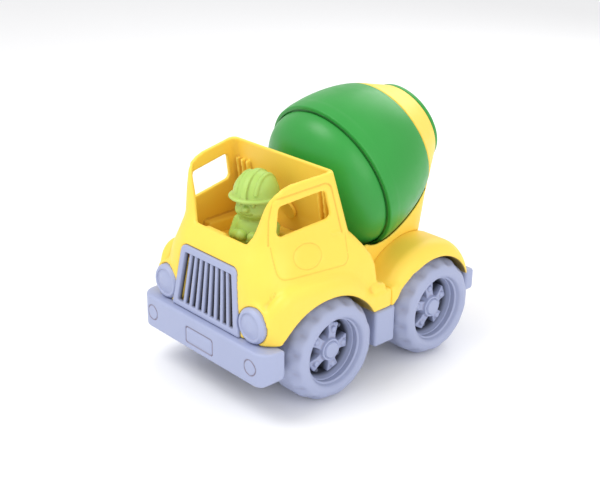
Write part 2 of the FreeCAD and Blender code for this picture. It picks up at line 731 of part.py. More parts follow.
def body_pegs():
    """Push-in pegs that hold the yellow mouldings down on the chassis, four alike."""
    pegs = []
    for y in (FRONT_PEG_Y, REAR_PEG_Y):
        heads = [Part.makeCylinder(4.2, 1.6, V(x, y, 41.4), V(0, 0, 1)) for x in (-PEG_X, PEG_X)]
        for head, shank in zip(heads, peg_shanks(y).Solids):
            pegs.append(head.fuse(shank).removeSplitter())
    return computed("body_pegs", Part.makeCompound([peg.Solids[0] for peg in pegs]))


def driver_figure():
    """One-piece driver bust: tapered body, folded arms, round head and a brimmed hard hat."""
    y, base = size("driver_y"), size("cab_floor_top") + 2.5
    body = turned([(0, 0), (12.5, 0), (13.5, 2), (12.0, 20), (10.0, 25), (0, 27)])
    head = Part.makeSphere(12.6, V(0, 0, 35.5))
    brim = turned([(0, 38), (15.5, 38), (16.4, 39.2), (15.5, 40.4), (0, 40.4)])
    hat = Part.makeSphere(14.2, V(0, 0, 41), V(0, 0, 1), 0, 90, 360)
    peak = Part.makeCylinder(12, 2.4, V(0, -6.5, 38), V(0, 0, 1))
    solid = body.fuse(head).fuse(brim).fuse(hat).fuse(peak)
    for side in (-1, 1):
        arm = Part.makeSphere(5.0, V(11.0 * side, -5.5, 15.0))
        solid = solid.fuse(arm)
    solid = solid.removeSplitter()
    solid.Placement = FreeCAD.Placement(V(0, y, base), FreeCAD.Rotation(V(0, 0, 1), 20))
    return computed("driver_figure", solid)


def build_all():
    wheels()
    cab_shell()
    cab_floor()
    rear_body()
    drum_support()
    drum_rear_shell()
    drum_front_shell()
    drum_mouth_ring()
    drum_pivot_pin()
    chassis_frame()
    front_bumper()
    radiator_grille()
    for name, side in SIDES:
        headlight(f"headlight_{name}", side)
    body_pegs()
    driver_figure()


def check_and_export():
    """Refuse failed features and broken shapes, then write one STEP file for each sub-part."""
    doc.recompute()
    for item in doc.Objects:
        if "Invalid" in item.State or "Error" in item.State:
            raise RuntimeError(f"{item.Label} failed: {item.State}")
    os.makedirs("parts", exist_ok=True)
    for part in parts:
        shape = part.Shape
        if shape.isNull() or not shape.isValid() or not shape.Solids:
            raise RuntimeError(f"{part.Label} has no valid solid")
        box = shape.optimalBoundingBox(False, False)
        extent = [round(v, 2) for v in (box.XMin, box.XMax, box.YMin, box.YMax, box.ZMin, box.ZMax)]
        print(f"{part.Label}: {len(shape.Solids)} solids, {shape.Volume:.0f} mm3, {extent}")
        shape.exportStep(f"parts/{part.Label}.step")


build_all()
check_and_export()
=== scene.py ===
"""Looks of the toy cement mixer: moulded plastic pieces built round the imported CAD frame.

Shapes are drawn in millimetres in the row's frame and turned into metres when a mesh is made.
Moulded pieces are fields (negative inside) that are meshed by surface nets; round pieces are lathed.
"""

import json
import math

import bmesh
import bpy
import numpy as np
from mathutils import Matrix, Vector


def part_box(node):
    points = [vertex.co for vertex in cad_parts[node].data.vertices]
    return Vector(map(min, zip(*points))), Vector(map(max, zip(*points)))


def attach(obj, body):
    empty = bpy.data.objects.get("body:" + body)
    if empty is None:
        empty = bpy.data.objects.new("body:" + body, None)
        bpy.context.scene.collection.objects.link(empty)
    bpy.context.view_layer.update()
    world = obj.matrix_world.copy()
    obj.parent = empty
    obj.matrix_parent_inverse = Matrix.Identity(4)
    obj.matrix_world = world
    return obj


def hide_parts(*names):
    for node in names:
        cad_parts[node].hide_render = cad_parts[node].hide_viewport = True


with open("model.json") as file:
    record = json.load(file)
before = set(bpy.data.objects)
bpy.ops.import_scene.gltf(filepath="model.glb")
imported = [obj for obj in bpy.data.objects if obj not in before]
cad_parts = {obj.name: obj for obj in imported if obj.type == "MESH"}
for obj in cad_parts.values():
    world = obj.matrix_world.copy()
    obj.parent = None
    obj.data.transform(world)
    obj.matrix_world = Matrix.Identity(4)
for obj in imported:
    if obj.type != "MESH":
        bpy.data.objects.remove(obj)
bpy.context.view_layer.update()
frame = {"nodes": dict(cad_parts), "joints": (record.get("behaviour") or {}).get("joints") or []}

MM = 0.001
SIDES = (("left", -1), ("right", 1))


def middle(node):
    """Centre of a CAD node's box, in millimetres."""
    low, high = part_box(node)
    return [(a + b) / 2 / MM for a, b in zip(low, high)]


# Places and sizes read from the frame.
FRONT_AXLE_Y = middle("front_axle")[1]
REAR_AXLE_Y = middle("rear_axle")[1]
WHEEL_R = middle("front_axle")[2]
TYRE_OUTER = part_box("tyre_front_right")[1].x / MM
TYRE_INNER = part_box("tyre_front_right")[0].x / MM
FRONT_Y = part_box("front_bumper")[0].y / MM
TAIL_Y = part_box("chassis_frame")[1].y / MM
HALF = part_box("cab_shell")[1].x / MM
CAB_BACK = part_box("cab_shell")[1].y / MM
FLOOR_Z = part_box("cab_floor")[0].z / MM
DRUM_JOINT = next(joint for joint in frame["joints"] if joint["name"] == "drum_spin")
DRUM_SEAM = [value / MM for value in DRUM_JOINT["pos_m"]]
DRUM_AXIS = DRUM_JOINT["axis"]
DRUM_TILT = math.degrees(math.atan2(DRUM_AXIS[2], DRUM_AXIS[1]))

# Sizes that several pieces share. The arches are (y, z, radius) of the openings over the wheels.
BODY_BOTTOM = 49.5
WALL = 2.6
ARCH_Y, ARCH_Z, ARCH_R = FRONT_ARCH = (FRONT_AXLE_Y - 2.6, 27.1, 43.2)
REAR_ARCH_Y, REAR_ARCH_Z, REAR_ARCH_R = REAR_ARCH = (REAR_AXLE_Y - 1.6, 32.6, 38.0)
ARCH_DEPTH_FROM = 28.0
GRILLE_FOOT, GRILLE_HEIGHT, GRILLE_DEPTH = 49.2, 41.8, 4.0
GRILLE_FRONT = FRONT_Y + 4.3
GRILLE_LEAN = math.atan2(4.2, 43.0)

# ---------- Fields: numbers below zero are inside ----------


def soft_min(a, b, k):
    """Union of two fields with a fillet about k wide."""
    h = np.clip(0.5 + 0.5 * (b - a) / k, 0.0, 1.0)
    return b + (a - b) * h - k * h * (1.0 - h)


def soft_max(a, b, k):
    """Intersection of two fields with an eased edge."""
    return -soft_min(-a, -b, k)


def round_max(a, b, r):
    """Intersection of two fields with a round edge of radius r."""
    return np.minimum(np.maximum(a, b), -r) + np.hypot(np.maximum(a + r, 0.0), np.maximum(b + r, 0.0))


def cut(a, b, k):
    """Field a with field b taken away and the new edge eased."""
    return soft_max(a, -b, k)


def round_box(x, y, z, low, high, r):
    offset = [np.abs(p - (a + b) / 2) - (b - a) / 2 + r for p, a, b in zip((x, y, z), low, high)]
    outside = np.sqrt(sum(np.maximum(q, 0.0) ** 2 for q in offset))
    inside = np.minimum(np.maximum(np.maximum(offset[0], offset[1]), offset[2]), 0.0)
    return outside + inside - r


def shrink(points, r):
    """A closed outline moved inwards by r, so that growing it back rounds its corners."""
    points = [np.array(p, float) for p in points]
    area = sum(a[0] * b[1] - a[1] * b[0] for a, b in zip(points, points[1:] + points[:1]))
    turn = 1.0 if area > 0 else -1.0
    moved = []
    for before, here, after in zip(points[-1:] + points[:-1], points, points[1:] + points[:1]):
        u, v = here - before, after - here
        u, v = u / np.linalg.norm(u), v / np.linalg.norm(v)
        n1, n2 = turn * np.array([-u[1], u[0]]), turn * np.array([-v[1], v[0]])
        moved.append(here + r * (n1 + n2) / (1.0 + n1 @ n2))
    return moved


def outline(u, v, points, r=0.0):
    """Distance to a closed outline with corners of radius r."""
    points = shrink(points, r) if r else [np.array(p, float) for p in points]
    best, sign = None, 1.0
    for a, b in zip(points, points[1:] + points[:1]):
        e = b - a
        du, dv = u - a[0], v - a[1]
        t = np.clip((du * e[0] + dv * e[1]) / (e @ e), 0.0, 1.0)
        square = (du - e[0] * t) ** 2 + (dv - e[1] * t) ** 2
        best = square if best is None else np.minimum(best, square)
        above, below = v >= a[1], v < b[1]
        left = e[0] * dv > e[1] * du
        flip = (above & below & left) | (~above & ~below & ~left)
        sign = np.where(flip, -sign, sign)
    return sign * np.sqrt(best) - r


def drum_coords(x, y, z):
    """Distance from the drum's axis and distance behind the seam."""
    dy, dz = y - DRUM_SEAM[1], z - DRUM_SEAM[2]
    along = dy * DRUM_AXIS[1] + dz * DRUM_AXIS[2]
    across = dz * DRUM_AXIS[1] - dy * DRUM_AXIS[2]
    return np.hypot(x, across), along


# ---------- Meshing ----------
CORNERS = [(i, j, k) for i in (0, 1) for j in (0, 1) for k in (0, 1)]
EDGES = [
    (a, b) for a in CORNERS for b in CORNERS
    if sum(b) - sum(a) == 1 and all(q >= p for p, q in zip(a, b))
]


def settle(points, field, rounds=3, reach=0.6):
    """Move points on to the field's zero surface, by no more than reach."""
    start, step = points.copy(), 0.03
    for _ in range(rounds):
        x, y, z = points.T
        value = field(x, y, z)
        slope = np.stack([
            field(x + step, y, z) - field(x - step, y, z),
            field(x, y + step, z) - field(x, y - step, z),
            field(x, y, z + step) - field(x, y, z - step),
        ], 1) / (2 * step)
        square = np.maximum((slope ** 2).sum(1), 0.05)
        points = points - slope * (value / square)[:, None]
        moved = points - start
        length = np.linalg.norm(moved, axis=1)
        points = start + moved * np.minimum(1.0, reach / np.maximum(length, 1e-9))[:, None]
    return points


def net(field, low, high, cell):
    """Surface nets: vertices and quads of the field's zero surface inside a box."""
    low, high = np.array(low, float), np.array(high, float)
    counts = np.ceil((high - low) / cell).astype(int) + 1
    axes = [low[i] + cell * np.arange(counts[i]) for i in range(3)]
    x, y, z = np.meshgrid(*axes, indexing="ij", sparse=True)
    values = np.broadcast_to(field(x, y, z), tuple(counts)).astype(np.float32)
    inside = values < 0
    total = np.zeros(np.array(counts) - 1, np.int8)
    for i, j, k in CORNERS:
        total += inside[i:counts[0] - 1 + i, j:counts[1] - 1 + j, k:counts[2] - 1 + k]
    active = (total > 0) & (total < 8)
    cells = np.argwhere(active)
    index = np.full(active.shape, -1, np.int64)
    index[active] = np.arange(len(cells))
    summed, count = np.zeros((len(cells), 3)), np.zeros(len(cells))
    for a, b in EDGES:
        va = values[tuple((cells + a).T)]
        vb = values[tuple((cells + b).T)]
        crossed = (va < 0) != (vb < 0)
        share = np.where(crossed, va / np.where(crossed, va - vb, 1.0), 0.0)
        place = np.array(a) + share[:, None] * (np.array(b) - np.array(a))
        summed += place * crossed[:, None]
        count += crossed
    points = low + cell * (cells + summed / count[:, None])
    quads = []
    for axis in range(3):
        u, v = (axis + 1) % 3, (axis + 2) % 3
        first = [slice(None)] * 3
        second = [slice(None)] * 3
        first[axis], second[axis] = slice(0, -1), slice(1, None)
        change = inside[tuple(first)] != inside[tuple(second)]
        spots = np.argwhere(change)
        ok = (spots[:, u] > 0) & (spots[:, v] > 0)
        ok &= (spots[:, u] < counts[u] - 1) & (spots[:, v] < counts[v] - 1)
        spots = spots[ok]
        starts_inside = inside[tuple(spots.T)]
        eu, ev = np.eye(3, dtype=int)[u], np.eye(3, dtype=int)[v]
        ring = [spots, spots - eu, spots - eu - ev, spots - ev]
        faces = np.stack([index[tuple(p.T)] for p in ring], 1)
        faces[~starts_inside] = faces[~starts_inside][:, ::-1]
        quads.append(faces)
    return points, np.concatenate(quads)


def make_mesh(name, points, faces):
    """Mesh data from points in millimetres, smooth shaded."""
    mesh = bpy.data.meshes.new(name)
    mesh.from_pydata((np.asarray(points) * MM).tolist(), [], [list(map(int, f)) for f in faces])
    mesh.validate()
    mesh.polygons.foreach_set("use_smooth", np.ones(len(mesh.polygons), bool))
    mesh.update()
    return mesh


def new_piece(name, mesh, body, nodes, material):
    piece = bpy.data.objects.new(name, mesh)
    bpy.context.scene.collection.objects.link(piece)
    mesh.materials.clear()
    mesh.materials.append(material)
    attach(piece, body)
    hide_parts(*nodes)


def moulded(name, node, field, cell, material, body="truck", grow=1.2, front=None, top=None,
            detail=None, near=None):
    """A piece from a field, meshed in the CAD node's box grown a little, with its front or top set apart.

    Faces where near(points) is true are split finer before the mesh is settled on to detail.
    """
    low, high = [np.array(corner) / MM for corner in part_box(node)]
    low, high = low - grow, high + grow
    low[1] = low[1] if front is None else front
    high[2] = high[2] if top is None else top
    points, quads = net(field, low, high, cell)
    points = settle(points, field, reach=0.8 * cell)
    mesh = make_mesh(name, points, quads)
    if detail is not None:
        points = refined(mesh, near)
        points = settle(points, detail, rounds=4, reach=1.6)
        mesh.vertices.foreach_set("co", (points * MM).astype(np.float32).ravel())
        mesh.update()
    new_piece(name, mesh, body, [node], material)


def refined(mesh, near):
    """Split the faces near a detail in three and return the new vertices in millimetres."""
    work = bmesh.new()
    work.from_mesh(mesh)
    places = np.array([vertex.co for vertex in work.verts]) / MM
    close = near(*places.T)
    work.verts.ensure_lookup_table()
    edges = [edge for edge in work.edges if close[edge.verts[0].index] and close[edge.verts[1].index]]
    bmesh.ops.subdivide_edges(work, edges=edges, cuts=2, use_grid_fill=True)
    for face in work.faces:
        face.smooth = True
    work.to_mesh(mesh)
    work.free()
    return np.array([vertex.co for vertex in mesh.vertices], float) / MM


def eased(points, default=0.6, steps=5):
    """A closed lathe outline of (radius, height[, corner radius]) with its corners rounded."""
    spots = [(np.array(p[:2], float), p[2] if len(p) > 2 else default) for p in points]
    out = []
    for index, (here, r) in enumerate(spots):
        before, after = spots[index - 1][0], spots[(index + 1) % len(spots)][0]
        u, v = before - here, after - here
        lu, lv = np.linalg.norm(u), np.linalg.norm(v)
        if r <= 0 or here[0] <= 0:
            out.append(tuple(here))
            continue
        u, v = u / lu, v / lv
        half = math.acos(max(-1.0, min(1.0, u @ v))) / 2
        if half > math.radians(89):
            out.append(tuple(here))
            continue
        reach = min(r / math.tan(half), 0.48 * lu, 0.48 * lv)
        for k in range(steps + 1):
            t = k / steps
            start, end = here + u * reach, here + v * reach
            out.append(tuple((1 - t) ** 2 * start + 2 * t * (1 - t) * here + t * t * end))
    return out


def lathe_mesh(name, profile, steps=160, warp=None, closed=True):
    """Turn an outline of (radius, height) about local Z. warp(radius, height, angle) may shift radius."""
    profile = np.array(profile, float)
    angles = np.arange(steps) * 2 * math.pi / steps
    radius = np.repeat(profile[None, :, 0], steps, 0)
    height = np.repeat(profile[None, :, 1], steps, 0)
    turn = np.repeat(angles[:, None], len(profile), 1)
    if warp is not None:
        radius, height = warp(radius, height, turn)
    points = np.stack([radius * np.cos(turn), radius * np.sin(turn), height], 2).reshape(-1, 3)
    n, faces = len(profile), []
    last = n if closed else n - 1
    for i in range(steps):
        j = (i + 1) % steps
        for k in range(last):
            m = (k + 1) % n
            faces.append((i * n + k, j * n + k, j * n + m, i * n + m))
    return weld(name, points, faces)


def weld(name, points, faces):
    """Join vertices that lie together, as on the axis of a lathed piece, and face all sides outwards."""
    mesh = make_mesh(name, points, faces)
    work = bmesh.new()
    work.from_mesh(mesh)
    bmesh.ops.remove_doubles(work, verts=work.verts, dist=1e-6)
    bmesh.ops.recalc_face_normals(work, faces=work.faces)
    work.to_mesh(mesh)
    work.free()
    return mesh


def placed(mesh, matrix):
    """A copy of a mesh drawn in a local frame, moved into the row's frame."""
    copy = mesh.copy()
    copy.transform(matrix)
    if matrix.determinant() < 0:
        copy.flip_normals()
    return copy


def drum_matrix():
    place = Matrix.Translation(Vector(DRUM_SEAM) * MM)
    return place @ Matrix.Rotation(math.radians(DRUM_TILT - 90), 4, "X")


def wheel_matrix(axle_y, side):
    """Local Z points outwards along the axle."""
    place = Matrix.Translation(Vector((0, axle_y, WHEEL_R)) * MM)
    return place @ Matrix.Rotation(math.radians(90 * side), 4, "Y")


# ---------- Materials ----------
# Colour of the painted shade inside the wheel arches.
ARCH_SHADE = (0.05, 0.035, 0.02)
GREY_TONES = (0.36, 0.40, 0.58), (0.335, 0.375, 0.55)


def plastic(name, base, deep, roughness, grain, glow=0.0, well=None, arches=()):
    """Satin moulded plastic: slow colour drift, painted highlight on sharp edges, painted shade in grooves,
    fine mould grain and uneven gloss.

    A well is (direction, dark at, clear at): painted shade darkens the colour where the place, taken along
    the direction, falls from clear to dark. Arches are (y, z, radius) of wheel openings, whose insides get
    painted shade.
    """
    material = bpy.data.materials.new(name)
    material.use_nodes = True
    nodes, links = material.node_tree.nodes, material.node_tree.links
    shader = nodes["Principled BSDF"]
    spot = nodes.new("ShaderNodeTexCoord").outputs["Object"]

    def noise(scale, detail, rough=0.5):
        node = nodes.new("ShaderNodeTexNoise")
        node.inputs["Scale"].default_value = scale
        node.inputs["Detail"].default_value = detail
        node.inputs["Roughness"].default_value = rough
        links.new(spot, node.inputs["Vector"])
        return node.outputs["Fac"]

    def remap(value, low, high, to_low, to_high):
        node = nodes.new("ShaderNodeMapRange")
        node.inputs["From Min"].default_value = low
        node.inputs["From Max"].default_value = high
        node.inputs["To Min"].default_value = to_low
        node.inputs["To Max"].default_value = to_high
        links.new(value, node.inputs["Value"])
        return node.outputs["Result"]

    def mix(fac, a, b):
        node = nodes.new("ShaderNodeMix")
        node.data_type = "RGBA"
        links.new(fac, node.inputs["Factor"])
        for socket, value in ((node.inputs["A"], a), (node.inputs["B"], b)):
            if isinstance(value, tuple):
                socket.default_value = (*value, 1.0)
            else:
                links.new(value, socket)
        return node.outputs["Result"]

    def vector_math(operation, first, second=None):
        node = nodes.new("ShaderNodeVectorMath")
        node.operation = operation
        links.new(first, node.inputs[0])
        if second is not None:
            node.inputs[1].default_value = second
        return node.outputs["Value" if operation in ("DOT_PRODUCT", "DISTANCE") else "Vector"]

    def bump(strength, distance, height):
        node = nodes.new("ShaderNodeBump")
        node.inputs["Strength"].default_value = strength
        node.inputs["Distance"].default_value = distance
        links.new(height, node.inputs["Height"])
        return node

    drift = remap(noise(22.0, 3.0), 0.3, 0.7, 0.0, 1.0)
    colour = mix(drift, base, deep)
    flow = remap(noise(6.0, 2.0), 0.35, 0.65, 0.0, 0.35)
    pale = tuple(min(1.0, c * 1.06 + 0.015) for c in base)
    colour = mix(flow, colour, pale)
    geometry = nodes.new("ShaderNodeNewGeometry")
    # Painted highlight: the colour is paled on sharp outer edges, where pointiness is high.
    edge = remap(geometry.outputs["Pointiness"], 0.52, 0.60, 0.0, 0.35)
    colour = mix(edge, colour, pale)
    # Painted shade: the colour is darkened in grooves and creases, where pointiness is low.
    cavity_shade = remap(geometry.outputs["Pointiness"], 0.435, 0.490, 0.75, 0.0)
    colour = mix(cavity_shade, colour, tuple(c * f for c, f in zip(base, (0.62, 0.42, 0.35))))
    beside = vector_math("ABSOLUTE", spot)
    # Painted shade: the colour darkens deep in a well, as between the hub's spokes and behind the grille's
    # bars.
    if well:
        towards, deep_at, clear_at = well
        out = vector_math("DOT_PRODUCT", beside, towards)
        shade = remap(out, deep_at * MM, clear_at * MM, 0.93, 0.0)
        colour = mix(shade, colour, tuple(c * 0.12 for c in base))
    # Painted shade on the inside of each wheel arch.
    for centre_y, centre_z, radius in arches:
        side_on = vector_math("MULTIPLY", spot, (0.0, 1.0, 1.0))
        from_axle = vector_math("DISTANCE", side_on, (0.0, centre_y * MM, centre_z * MM))
        within = remap(from_axle, (radius - 0.2) * MM, (radius + 0.5) * MM, 0.85, 0.0)
        sideways = vector_math("DOT_PRODUCT", beside, (1.0, 0.0, 0.0))
        covered = remap(sideways, (ARCH_DEPTH_FROM - 1.0) * MM, ARCH_DEPTH_FROM * MM, 0.0, 1.0)
        both = nodes.new("ShaderNodeMath")
        both.operation = "MULTIPLY"
        links.new(within, both.inputs[0])
        links.new(covered, both.inputs[1])
        colour = mix(both.outputs["Value"], colour, ARCH_SHADE)
    links.new(colour, shader.inputs["Base Color"])
    gloss = remap(noise(160.0, 5.0, 0.6), 0.3, 0.7, roughness - 0.05, roughness + 0.06)
    links.new(gloss, shader.inputs["Roughness"])
    shader.inputs["IOR"].default_value = 1.47
    shader.inputs["Specular IOR Level"].default_value = 0.45
    if glow:
        shader.inputs["Subsurface Weight"].default_value = glow
        shader.inputs["Subsurface Radius"].default_value = (1.0, 0.7, 0.25)
        shader.inputs["Subsurface Scale"].default_value = 0.002
    wave = bump(0.06, 0.0006, noise(55.0, 1.0))
    fine = bump(grain, 0.0002, noise(1400.0, 2.0))
    links.new(wave.outputs["Normal"], fine.inputs["Normal"])
    links.new(fine.outputs["Normal"], shader.inputs["Normal"])
    return material


# Where painted shade falls: deep behind the grille's face, and deep in the hub between its spokes.
GRILLE_FACE = GRILLE_FOOT * math.sin(GRILLE_LEAN) - GRILLE_FRONT * math.cos(GRILLE_LEAN)
GRILLE_WELL_SHADE = (0.0, math.cos(GRILLE_LEAN), math.sin(GRILLE_LEAN)), GRILLE_FACE - 3.4, GRILLE_FACE - 1.5
HUB_WELL_SHADE = (1.0, 0.0, 0.0), 52.0, 55.6
YELLOW = plastic("yellow_plastic", (0.97, 0.665, 0.088), (0.95, 0.63, 0.074), 0.44, 0.06, 0.08,
                 arches=(FRONT_ARCH, REAR_ARCH))
GREEN = plastic("green_plastic", (0.026, 0.31, 0.044), (0.021, 0.27, 0.036), 0.36, 0.05)
GREY = plastic("grey_plastic", *GREY_TONES, 0.46, 0.07)
HUB = plastic("hub_plastic", *GREY_TONES, 0.46, 0.07, well=HUB_WELL_SHADE)
GRILLE = plastic("grille_plastic", *GREY_TONES, 0.46, 0.07, well=GRILLE_WELL_SHADE)
TYRE = plastic("tyre_plastic", (0.36, 0.395, 0.565), (0.33, 0.37, 0.54), 0.50, 0.09)
AXLE = plastic("axle_plastic", (0.28, 0.31, 0.46), (0.25, 0.28, 0.42), 0.42, 0.05)
LIME = plastic("driver_plastic", (0.44, 0.62, 0.15), (0.36, 0.56, 0.09), 0.46, 0.07, 0.05)

# ---------- Yellow cab ----------
# Plan outlines: height, half width at the back and at the front corner, front, corner radius.
CAB_ROWS = np.array((
    (40.0, 59.6, 56.0, -91.6, 20.0),
    (62.0, 59.6, 55.6, -91.3, 21.0),
    (72.0, 59.4, 55.0, -90.8, 22.0),
    (84.0, 59.2, 53.6, -89.8, 23.5),
    (92.0, 58.4, 51.0, -88.0, 24.0),
    (98.0, 57.8, 48.8, -84.5, 20.0),
    (103.0, 57.4, 47.0, -80.0, 15.0),
    (110.0, 57.1, 45.5, -77.5, 10.5),
    (118.0, 56.9, 44.5, -76.2, 8.0),
    (130.0, 56.7, 43.0, -75.0, 6.5),
    (150.0, 56.3, 41.0, -73.5, 5.5),
))
# The rows are blended with a bell-shaped kernel that reaches BLUR half-millimetres each way.
ROW_Z = np.arange(30.0, 160.0, 0.5)
BLUR = 14
KERNEL = np.exp(-0.5 * (np.arange(-BLUR, BLUR + 1) / 5.0) ** 2)
ROW_VALUES = [
    np.convolve(np.pad(np.interp(ROW_Z, CAB_ROWS[:, 0], col), BLUR, "edge"), KERNEL / KERNEL.sum(), "valid")
    for col in CAB_ROWS[:, 1:].T
]
# Side view: the roof line with the pillar's bend, and the back, from the foot up to the roof.
ROOF_LINE = [
    (30, 20), (30, 151.0), (-29.6, 145.0), (-60.0, 141.2), (-66.0, 139.2), (-70.6, 136.2),
    (-74.0, 131.6), (-76.5, 125.0), (-110, 118), (-110, 20),
]
BACK_LINE = [
    (-150, 20), (2.4, 20), (1.4, 62.5), (-0.5, 68.7), (-1.6, 80.0), (-4.6, 87.0), (-10.2, 94.4),
    (-15.2, 100.6), (-19.4, 105.2), (-34.2, 163.0), (-150, 163),
]
SILL_Z = 103.0
# Door marks, as (length along the cab's plan, height).
WINDOW = [(-73.2, 110.8), (-69.8, 129.8), (-37.4, 134.6), (-33.6, 116.6)]
FRAME_LINE = [(-79.2, 96.0), (-77.4, 121.0), (-73.6, 134.0), (-34.2, 139.0), (-23.0, 90.0)]
DOOR_LINE = [(-77.4, 112.0), (-76.2, 87.0), (-24.0, 85.8), (-24.4, 112.0)]
BELT_Z = 105.0
BADGE_Y, BADGE_Z = -53.2, 96.9


def cab_plan(ax, y, z, inset):
    """The cab's plan outline at each height, moved in by inset."""
    back, corner, front, radius = [np.interp(z, ROW_Z, values) for values in ROW_VALUES]
    back, corner, front = back - inset, corner - inset, front + inset
    radius = np.maximum(radius - inset, 2.0)
    run = (y - front - radius) / (CAB_BACK - front - radius)
    return round_max(ax - corner - (back - corner) * run, front - y, radius)


def fender_top(ax, y, z):
    """Height above the front fender's crest, a flattened arch that runs forward over the headlight."""
    bend, bend_r, peak = -74.2, 18.0, -57.0
    ahead = bend - y
    turn = np.arctan2(np.maximum(ahead, 0.0), np.maximum(ax - HALF + bend_r, 0.01))
    run = np.where(ahead > 0, bend - bend_r * turn, y)
    across = np.where(run > peak, (run - peak) / 53.5, (peak - run) / 48.0)
    up = np.maximum(z - ARCH_Z, 0.0) / 55.6
    return (np.cbrt(across ** 3 + up ** 3) - 1.0) * 53.0


def cab_run(ax, y, z):
    """Length round the cab's plan: y along the side, carried on round the front corner."""
    _, corner, front, radius = [np.interp(z, ROW_Z, values) for values in ROW_VALUES]
    ahead, out = front + radius - y, ax - corner + radius
    turn = np.arctan2(np.maximum(ahead, 0.0), np.maximum(out, 0.01))
    return np.where(ahead > 0, front + radius - radius * turn + np.minimum(out, 0.0), y)


def cab_outside(ax, y, z):
    """Nose, doors and pillars, with a fender over the wheel and a running board behind it."""
    corner = np.interp(z, (66.0, 80.0, 96.0, 106.0), (2.0, 3.5, 3.5, 5.5))
    body = round_max(cab_plan(ax, y, z, 0.0), outline(y, z, BACK_LINE), corner)
    body = round_max(body, outline(y, z, ROOF_LINE), 1.3)
    wide = round_max(ax - HALF + 0.065 * np.maximum(-46.0 - y, 0.0), -91.9 - y, 18.0)
    fender = round_max(fender_top(ax, y, z), wide, 7.0)
    fender = np.maximum(fender, y - 5.0)
    board = round_box(ax, y, z, (-40, -40, 30), (HALF - 0.2, CAB_BACK, 61.4), 1.8)
    lug = round_box(ax, y, z, (49.0, -6.0, 50), (61.6, 5.4, 66.4), 2.8)
    body = soft_min(body, fender, 3.6)
    body = soft_min(body, board, 4.0)
    cowl = np.hypot(ax - LAMP_X, z - LAMP_Z) - LAMP_R - 2.0
    body = soft_min(body, round_max(cowl, np.abs(y + 79.0) - 9.5, 1.2), 3.0)
    return soft_min(body, lug, 2.5)


def cab_field(x, y, z):
    """The cab moulding: the outside, hollowed for cabin, nose, wheels, windows, lamps and grille."""
    ax = np.abs(x)
    body = outside = cab_outside(ax, y, z)
    rear_wall = [(-120, FLOOR_Z), (-20.0, FLOOR_Z), (-21.8, SILL_Z), (-34.8, 157), (-120, 157)]
    cabin = round_max(cab_plan(ax, y, z, 2.9), outline(y, z, rear_wall, 1.6), 4.4)
    screen = outline(ax, z, [
        (-60, SILL_Z), (24.5, SILL_Z), (28.5, 109), (33.6, 123), (38.6, 136), (42, 165), (-60, 165)], 3.0)
    screen = soft_max(screen, y + 62, 1.0)
    window = np.maximum(outline(cab_run(ax, y, z), z, WINDOW, 3.4), 30 - ax)
    body = cut(body, cabin, 1.0)
    body = cut(body, screen, 1.2)
    body = cut(body, window, 1.0)
    ledge = round_box(ax, y, z, (43.5, -54, 70), (56, -22, 90.5), 1.6)
    ribs = np.maximum(np.abs(np.mod(ax - 31.0, 5.0) - 2.5) - 0.9, np.abs(ax - 38.5) - 7.5)
    ribs = np.maximum(np.maximum(ribs, np.abs(z - 104) - 27), outline(y, z, [
        (-22.6, FLOOR_Z - 2), (-18, FLOOR_Z - 2), (-24, 140), (-33.2, 140)]))
    inner_parts = np.maximum(soft_min(ledge, ribs, 0.6), outside + 1.2)
    body = soft_min(body, inner_parts, 0.8)
    tunnel = np.maximum(np.hypot(y - ARCH_Y, z - ARCH_Z) - ARCH_R, ARCH_DEPTH_FROM - ax)
    body = cut(body, tunnel, 1.3)
    bay = np.maximum(np.maximum(ax - 25.4, z - FLOOR_Z + WALL), outline(y, z, [
        (-89.4, 30), (-10, 30), (-10, 120), (-89.4, 120)]))
    bay = np.maximum(bay, cab_plan(ax, y, z, WALL))
    body = cut(body, bay, 0.8)
    mouth = outline(ax, z, [(-60, 51.5), (28.2, 51.5), (23.2, 83), (-60, 83)])
    body = cut(body, np.maximum(mouth, y + 82), 0.6)
    floor = np.maximum(np.maximum(ax - 50, np.abs(y + 50) - 31), np.abs(z - FLOOR_Z + WALL / 2) - WALL / 2)
    body = np.minimum(body, floor)
    from_lamp = np.hypot(ax - LAMP_X, z - LAMP_Z) - LAMP_R
    body = cut(body, np.maximum(from_lamp - 0.2, y - LAMP_BACK), 0.5)
    body = cut(body, grille_block(x, y, z, 0.15), 0.4)
    return round_max(body, BODY_BOTTOM - z, 0.6)


def groove(distance, half_width, depth):
    """How far an engraved line pulls the surface in."""
    return depth * np.exp(-(distance / half_width) ** 2 * 1.6)


def cab_detail(x, y, z):
    """The cab with its door line, window recess, handle and a plain round boss on each door."""
    ax = np.abs(x)
    body = cab_field(x, y, z)
    outer = np.clip(1.0 - np.abs(cab_outside(ax, y, z)) / 1.6, 0.0, 1.0) * (ax > 30)
    run = cab_run(ax, y, z)
    upper, lower, badge, handle = door_marks(run, z)
    body = body + groove(upper, 0.85, 1.0) * outer * np.clip((z - BELT_Z) / 1.5, 0.0, 1.0)
    body = body + groove(lower, 0.8, 0.6) * outer * np.clip((BELT_Z + 2.0 - z) / 2.0, 0.0, 1.0)
    body = body + groove(badge, 0.7, 0.5) * outer
    body = body - 0.3 * np.clip((-badge - 0.8) / 1.2, 0.0, 1.0) * outer
    return body - groove(handle, 1.0, 0.8) * outer


def door_marks(run, z):
    """Distances to the line round the window, the door's lower line, the round boss and the handle."""
    upper = outline(run, z, FRAME_LINE, 5.0)
    lower = outline(run, z, DOOR_LINE, 5.0)
    badge = np.hypot((run - BADGE_Y) / 1.32, z - BADGE_Z) - 7.6
    handle = np.hypot(np.maximum(np.abs(run + 31.8) - 2.6, 0.0), z - 106.9) - 0.2
    return upper, lower, badge, handle


